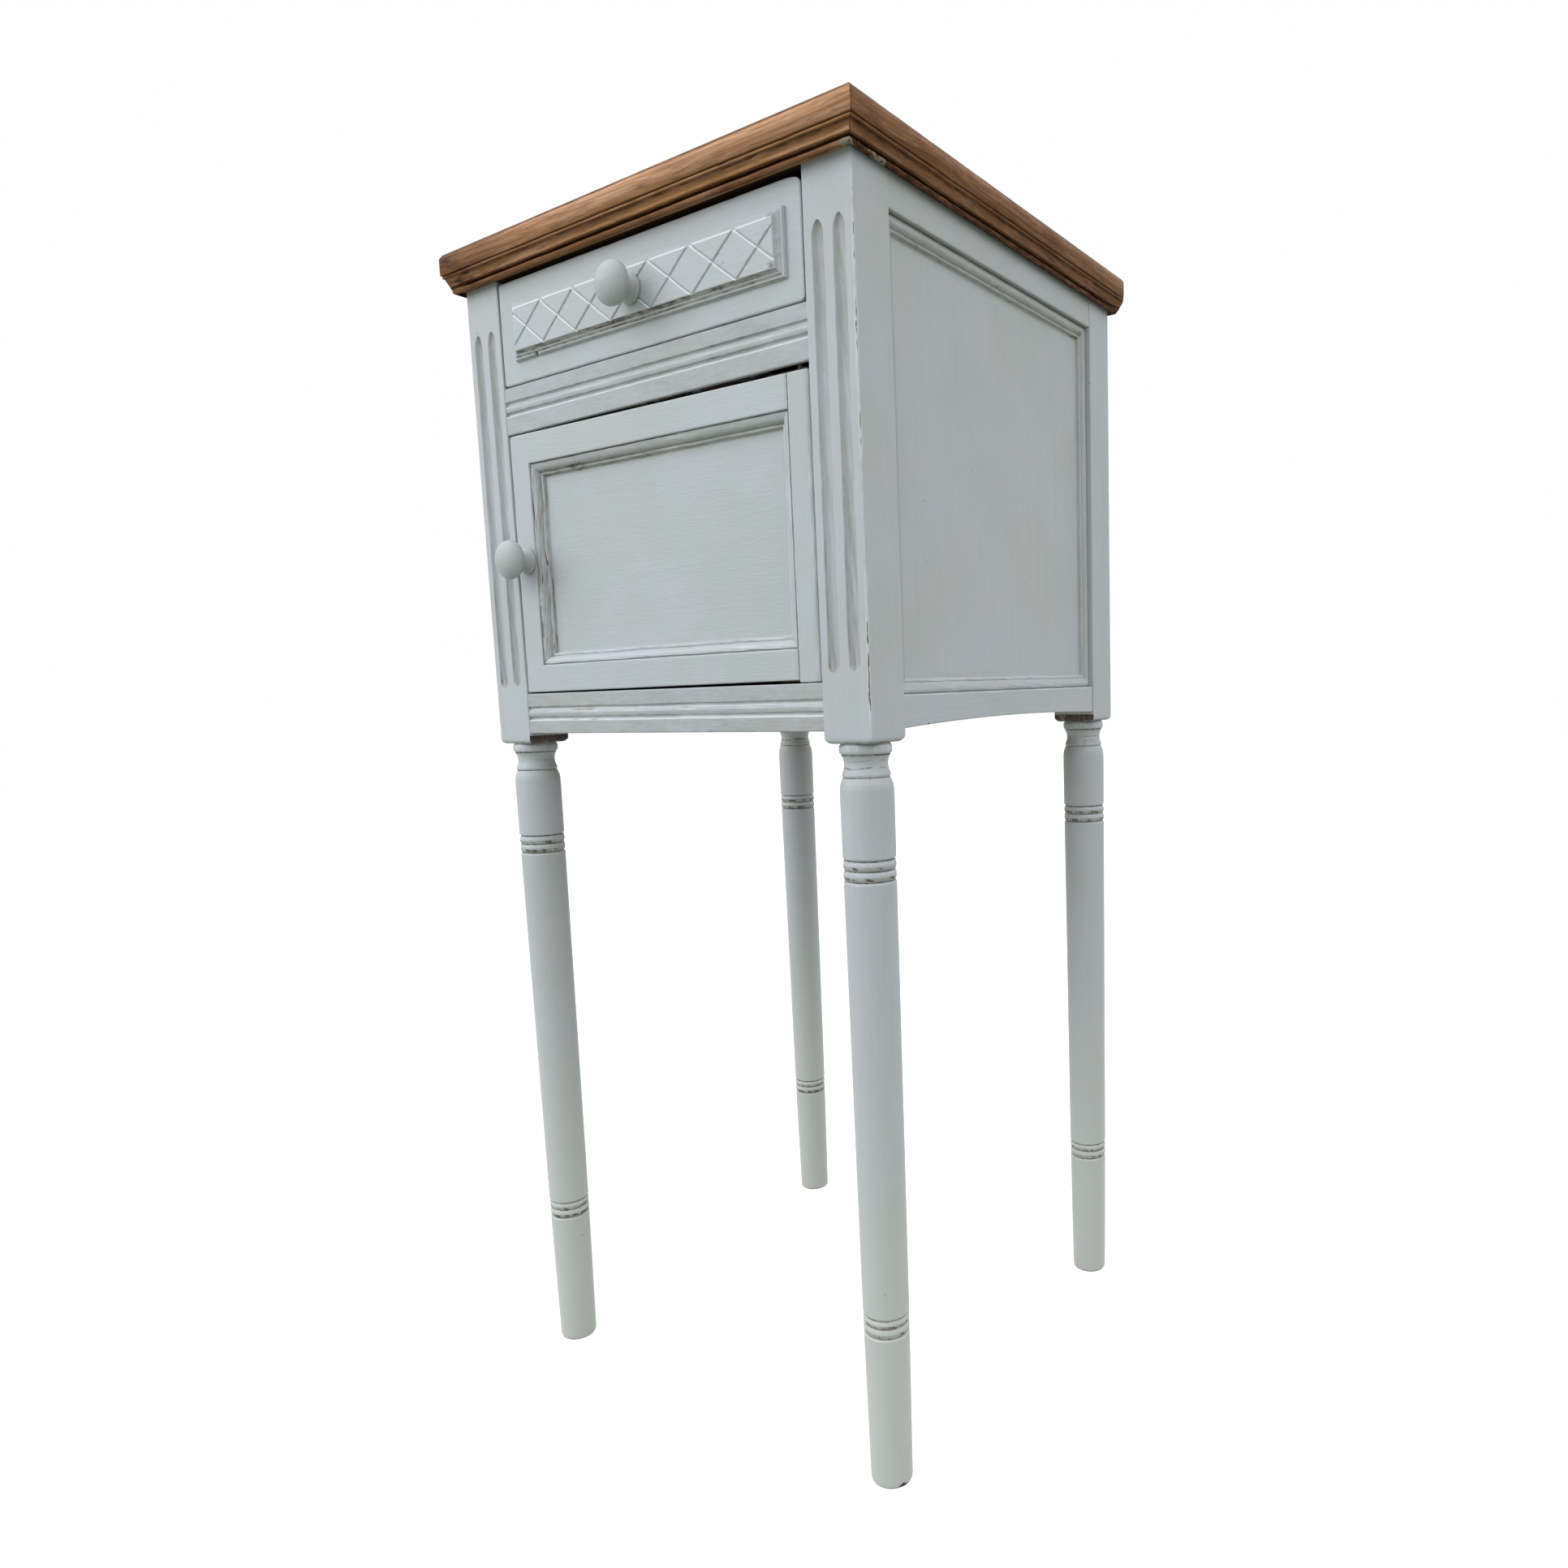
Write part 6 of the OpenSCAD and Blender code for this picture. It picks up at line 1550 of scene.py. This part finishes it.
# Floor: half its width in metres, its tones under the light, its tone as it is seen, and the
# strength and share of its glow, which lifts it to white
FLOOR_HALF = 9.0
FLOOR_DULL, FLOOR_DULL_LIGHT = (0.22, 0.235, 0.19), (0.24, 0.255, 0.21)
FLOOR_SEEN = (0.95, 0.95, 0.95)
FLOOR_GLOW, FLOOR_GLOW_SHARE = 1.3, 0.72


def make_floor():
    """Wide pale floor that fades into the white behind it but keeps the shadow."""
    half = FLOOR_HALF
    corners = [(-half, -half, 0), (half, -half, 0), (half, half, 0), (-half, half, 0)]
    mesh = bpy.data.meshes.new("floor")
    mesh.from_pydata(corners, [], [(0, 1, 2, 3)])
    material, tree, shader = new_material("pale_floor")
    spot = add(tree, "TexCoord").outputs["Object"]
    speckle = cloud(tree, spot, 40.0, 2.0)
    dull = mix(tree, speckle, FLOOR_DULL, FLOOR_DULL_LIGHT)
    seen = seen_directly(tree)
    feed(tree, shader, {"Base Color": mix(tree, seen, dull, FLOOR_SEEN), "Roughness": 0.9,
                        "Specular IOR Level": 0.0})
    glow = add(tree, "Emission", {"Color": (1, 1, 1, 1), "Strength": FLOOR_GLOW})
    share = calc(tree, "MULTIPLY", seen, FLOOR_GLOW_SHARE)
    blend = add(tree, "MixShader", {0: share, 1: shader.outputs[0], 2: glow.outputs[0]})
    feed(tree, tree.nodes["Material Output"], {"Surface": blend.outputs[0]})
    mesh.materials.append(material)
    floor = bpy.data.objects.new("floor", mesh)
    bpy.context.scene.collection.objects.link(floor)


# Tones and strengths of the world's light at the horizon and overhead
HORIZON, ZENITH = (0.98, 0.99, 0.94), (0.98, 1.0, 1.06)
LOW_LIGHT, HIGH_LIGHT = 0.47, 1.6


def make_world():
    """Soft light that is strong from above and weak from the horizon, seen as plain white."""
    world = bpy.data.worlds.new("white_room")
    bpy.context.scene.world = world
    world.use_nodes = True
    tree = world.node_tree
    up = add(tree, "SeparateXYZ", {0: add(tree, "TexCoord").outputs["Generated"]}).outputs["Z"]
    soft = ease(tree, up, -0.1, 1.0, LOW_LIGHT, HIGH_LIGHT)
    seen = seen_directly(tree)
    sky = mix(tree, ease(tree, up, 0.0, 0.8), HORIZON, ZENITH)
    strength = add(tree, "Mix", {0: seen, 2: soft, 3: 1.0}, data_type="FLOAT").outputs[0]
    feed(tree, tree.nodes["Background"], {"Color": mix(tree, seen, sky, (1.0, 1.0, 1.0)),
                                          "Strength": strength})


# Lamps: name, place, size, power and colour; they look at the middle of the cabinet
LAMPS = [("window", (-1.5, -2.0, 1.9), 2.4, 35, (0.96, 1.0, 1.07)),
         ("room", (2.6, -0.5, 2.3), 2.0, 7, (1.03, 0.99, 0.97))]
LAMP_TARGET = (0, 0, 0.6)


def make_lamp(name, place, size, power, colour):
    """Square soft lamp."""
    data = bpy.data.lights.new(name, "AREA")
    data.shape = "SQUARE"
    data.size = size
    data.energy = power
    data.color = colour
    lamp = bpy.data.objects.new(name, data)
    lamp.location = place
    away = Vector(place) - Vector(LAMP_TARGET)
    lamp.rotation_euler = away.to_track_quat("Z", "Y").to_euler()
    bpy.context.scene.collection.objects.link(lamp)


def make_stage():
    """Camera, floor, world and lamps."""
    bpy.context.scene.view_settings.view_transform = "Standard"
    make_camera()
    make_floor()
    make_world()
    for lamp in LAMPS:
        make_lamp(*lamp)


class CABINET_OT_stage(bpy.types.Operator):
    """Floor, light and camera"""

    bl_idname = "cabinet.stage"
    bl_label = "Stage"

    def execute(self, context):
        make_stage()
        return {"FINISHED"}


class CABINET_OT_legs(bpy.types.Operator):
    """Four posts with their turned legs"""

    bl_idname = "cabinet.legs"
    bl_label = "Legs"

    def execute(self, context):
        for k, node in enumerate(("leg_front_left", "leg_front_right", "leg_back_left",
                                  "leg_back_right")):
            make_leg(node, 200 + 17 * k)
        return {"FINISHED"}


class CABINET_OT_front_rails(bpy.types.Operator):
    """Reeded rails over and under the door"""

    bl_idname = "cabinet.front_rails"
    bl_label = "Front rails"

    def execute(self, context):
        for k, node in enumerate(("drawer_rail", "bottom_rail")):
            make_front_rail(node, 300 + 19 * k)
        return {"FINISHED"}


class CABINET_OT_sides(bpy.types.Operator):
    """Panelled sides"""

    bl_idname = "cabinet.sides"
    bl_label = "Sides"

    def execute(self, context):
        make_side("right", 1, 320)
        make_side("left", -1, 360)
        return {"FINISHED"}


class CABINET_OT_top(bpy.types.Operator):
    """Oak top with its mouldings"""

    bl_idname = "cabinet.top"
    bl_label = "Top"

    def execute(self, context):
        make_top()
        return {"FINISHED"}


class CABINET_OT_drawer(bpy.types.Operator):
    """Drawer front and its carved plaque"""

    bl_idname = "cabinet.drawer"
    bl_label = "Drawer"

    def execute(self, context):
        make_drawer_front()
        make_plaque()
        return {"FINISHED"}


class CABINET_OT_door(bpy.types.Operator):
    """Panelled door"""

    bl_idname = "cabinet.door"
    bl_label = "Door"

    def execute(self, context):
        make_door()
        return {"FINISHED"}


class CABINET_OT_knobs(bpy.types.Operator):
    """Turned knobs of the drawer and the door"""

    bl_idname = "cabinet.knobs"
    bl_label = "Knobs"

    def execute(self, context):
        make_knob("drawer_knob", "drawer", 401)
        make_knob("door_knob", "door", 411)
        return {"FINISHED"}


class CABINET_OT_inside(bpy.types.Operator):
    """Inner boards and fittings"""

    bl_idname = "cabinet.inside"
    bl_label = "Inside"

    def execute(self, context):
        finish_hidden()
        return {"FINISHED"}


class CABINET_PT_sidebar(bpy.types.Panel):
    """Sizes, colours and pieces of the cabinet"""

    bl_idname = "CABINET_PT_sidebar"
    bl_label = "Bedside cabinet"
    bl_space_type = "VIEW_3D"
    bl_region_type = "UI"
    bl_category = "Cabinet"

    def draw(self, context):
        for group in (context.scene.cabinet_shape, context.scene.cabinet_finish):
            column = self.layout.column()
            for key in group.__annotations__:
                column.prop(group, key)
        for operator in OPERATORS:
            self.layout.operator(operator.bl_idname)


OPERATORS = (CABINET_OT_stage, CABINET_OT_legs, CABINET_OT_front_rails, CABINET_OT_sides,
             CABINET_OT_top, CABINET_OT_drawer, CABINET_OT_door, CABINET_OT_knobs,
             CABINET_OT_inside)
CLASSES = (CabinetShape, CabinetFinish, *OPERATORS, CABINET_PT_sidebar)


def register():
    for cls in CLASSES:
        bpy.utils.register_class(cls)
    bpy.types.Scene.cabinet_shape = PointerProperty(type=CabinetShape)
    bpy.types.Scene.cabinet_finish = PointerProperty(type=CabinetFinish)


def unregister():
    del bpy.types.Scene.cabinet_finish
    del bpy.types.Scene.cabinet_shape
    for cls in reversed(CLASSES):
        bpy.utils.unregister_class(cls)


def main():
    """Makes every piece in order."""
    register()
    for operator in OPERATORS:
        area, name = operator.bl_idname.split(".")
        getattr(getattr(bpy.ops, area), name)()


if __name__ == "__main__":
    main()
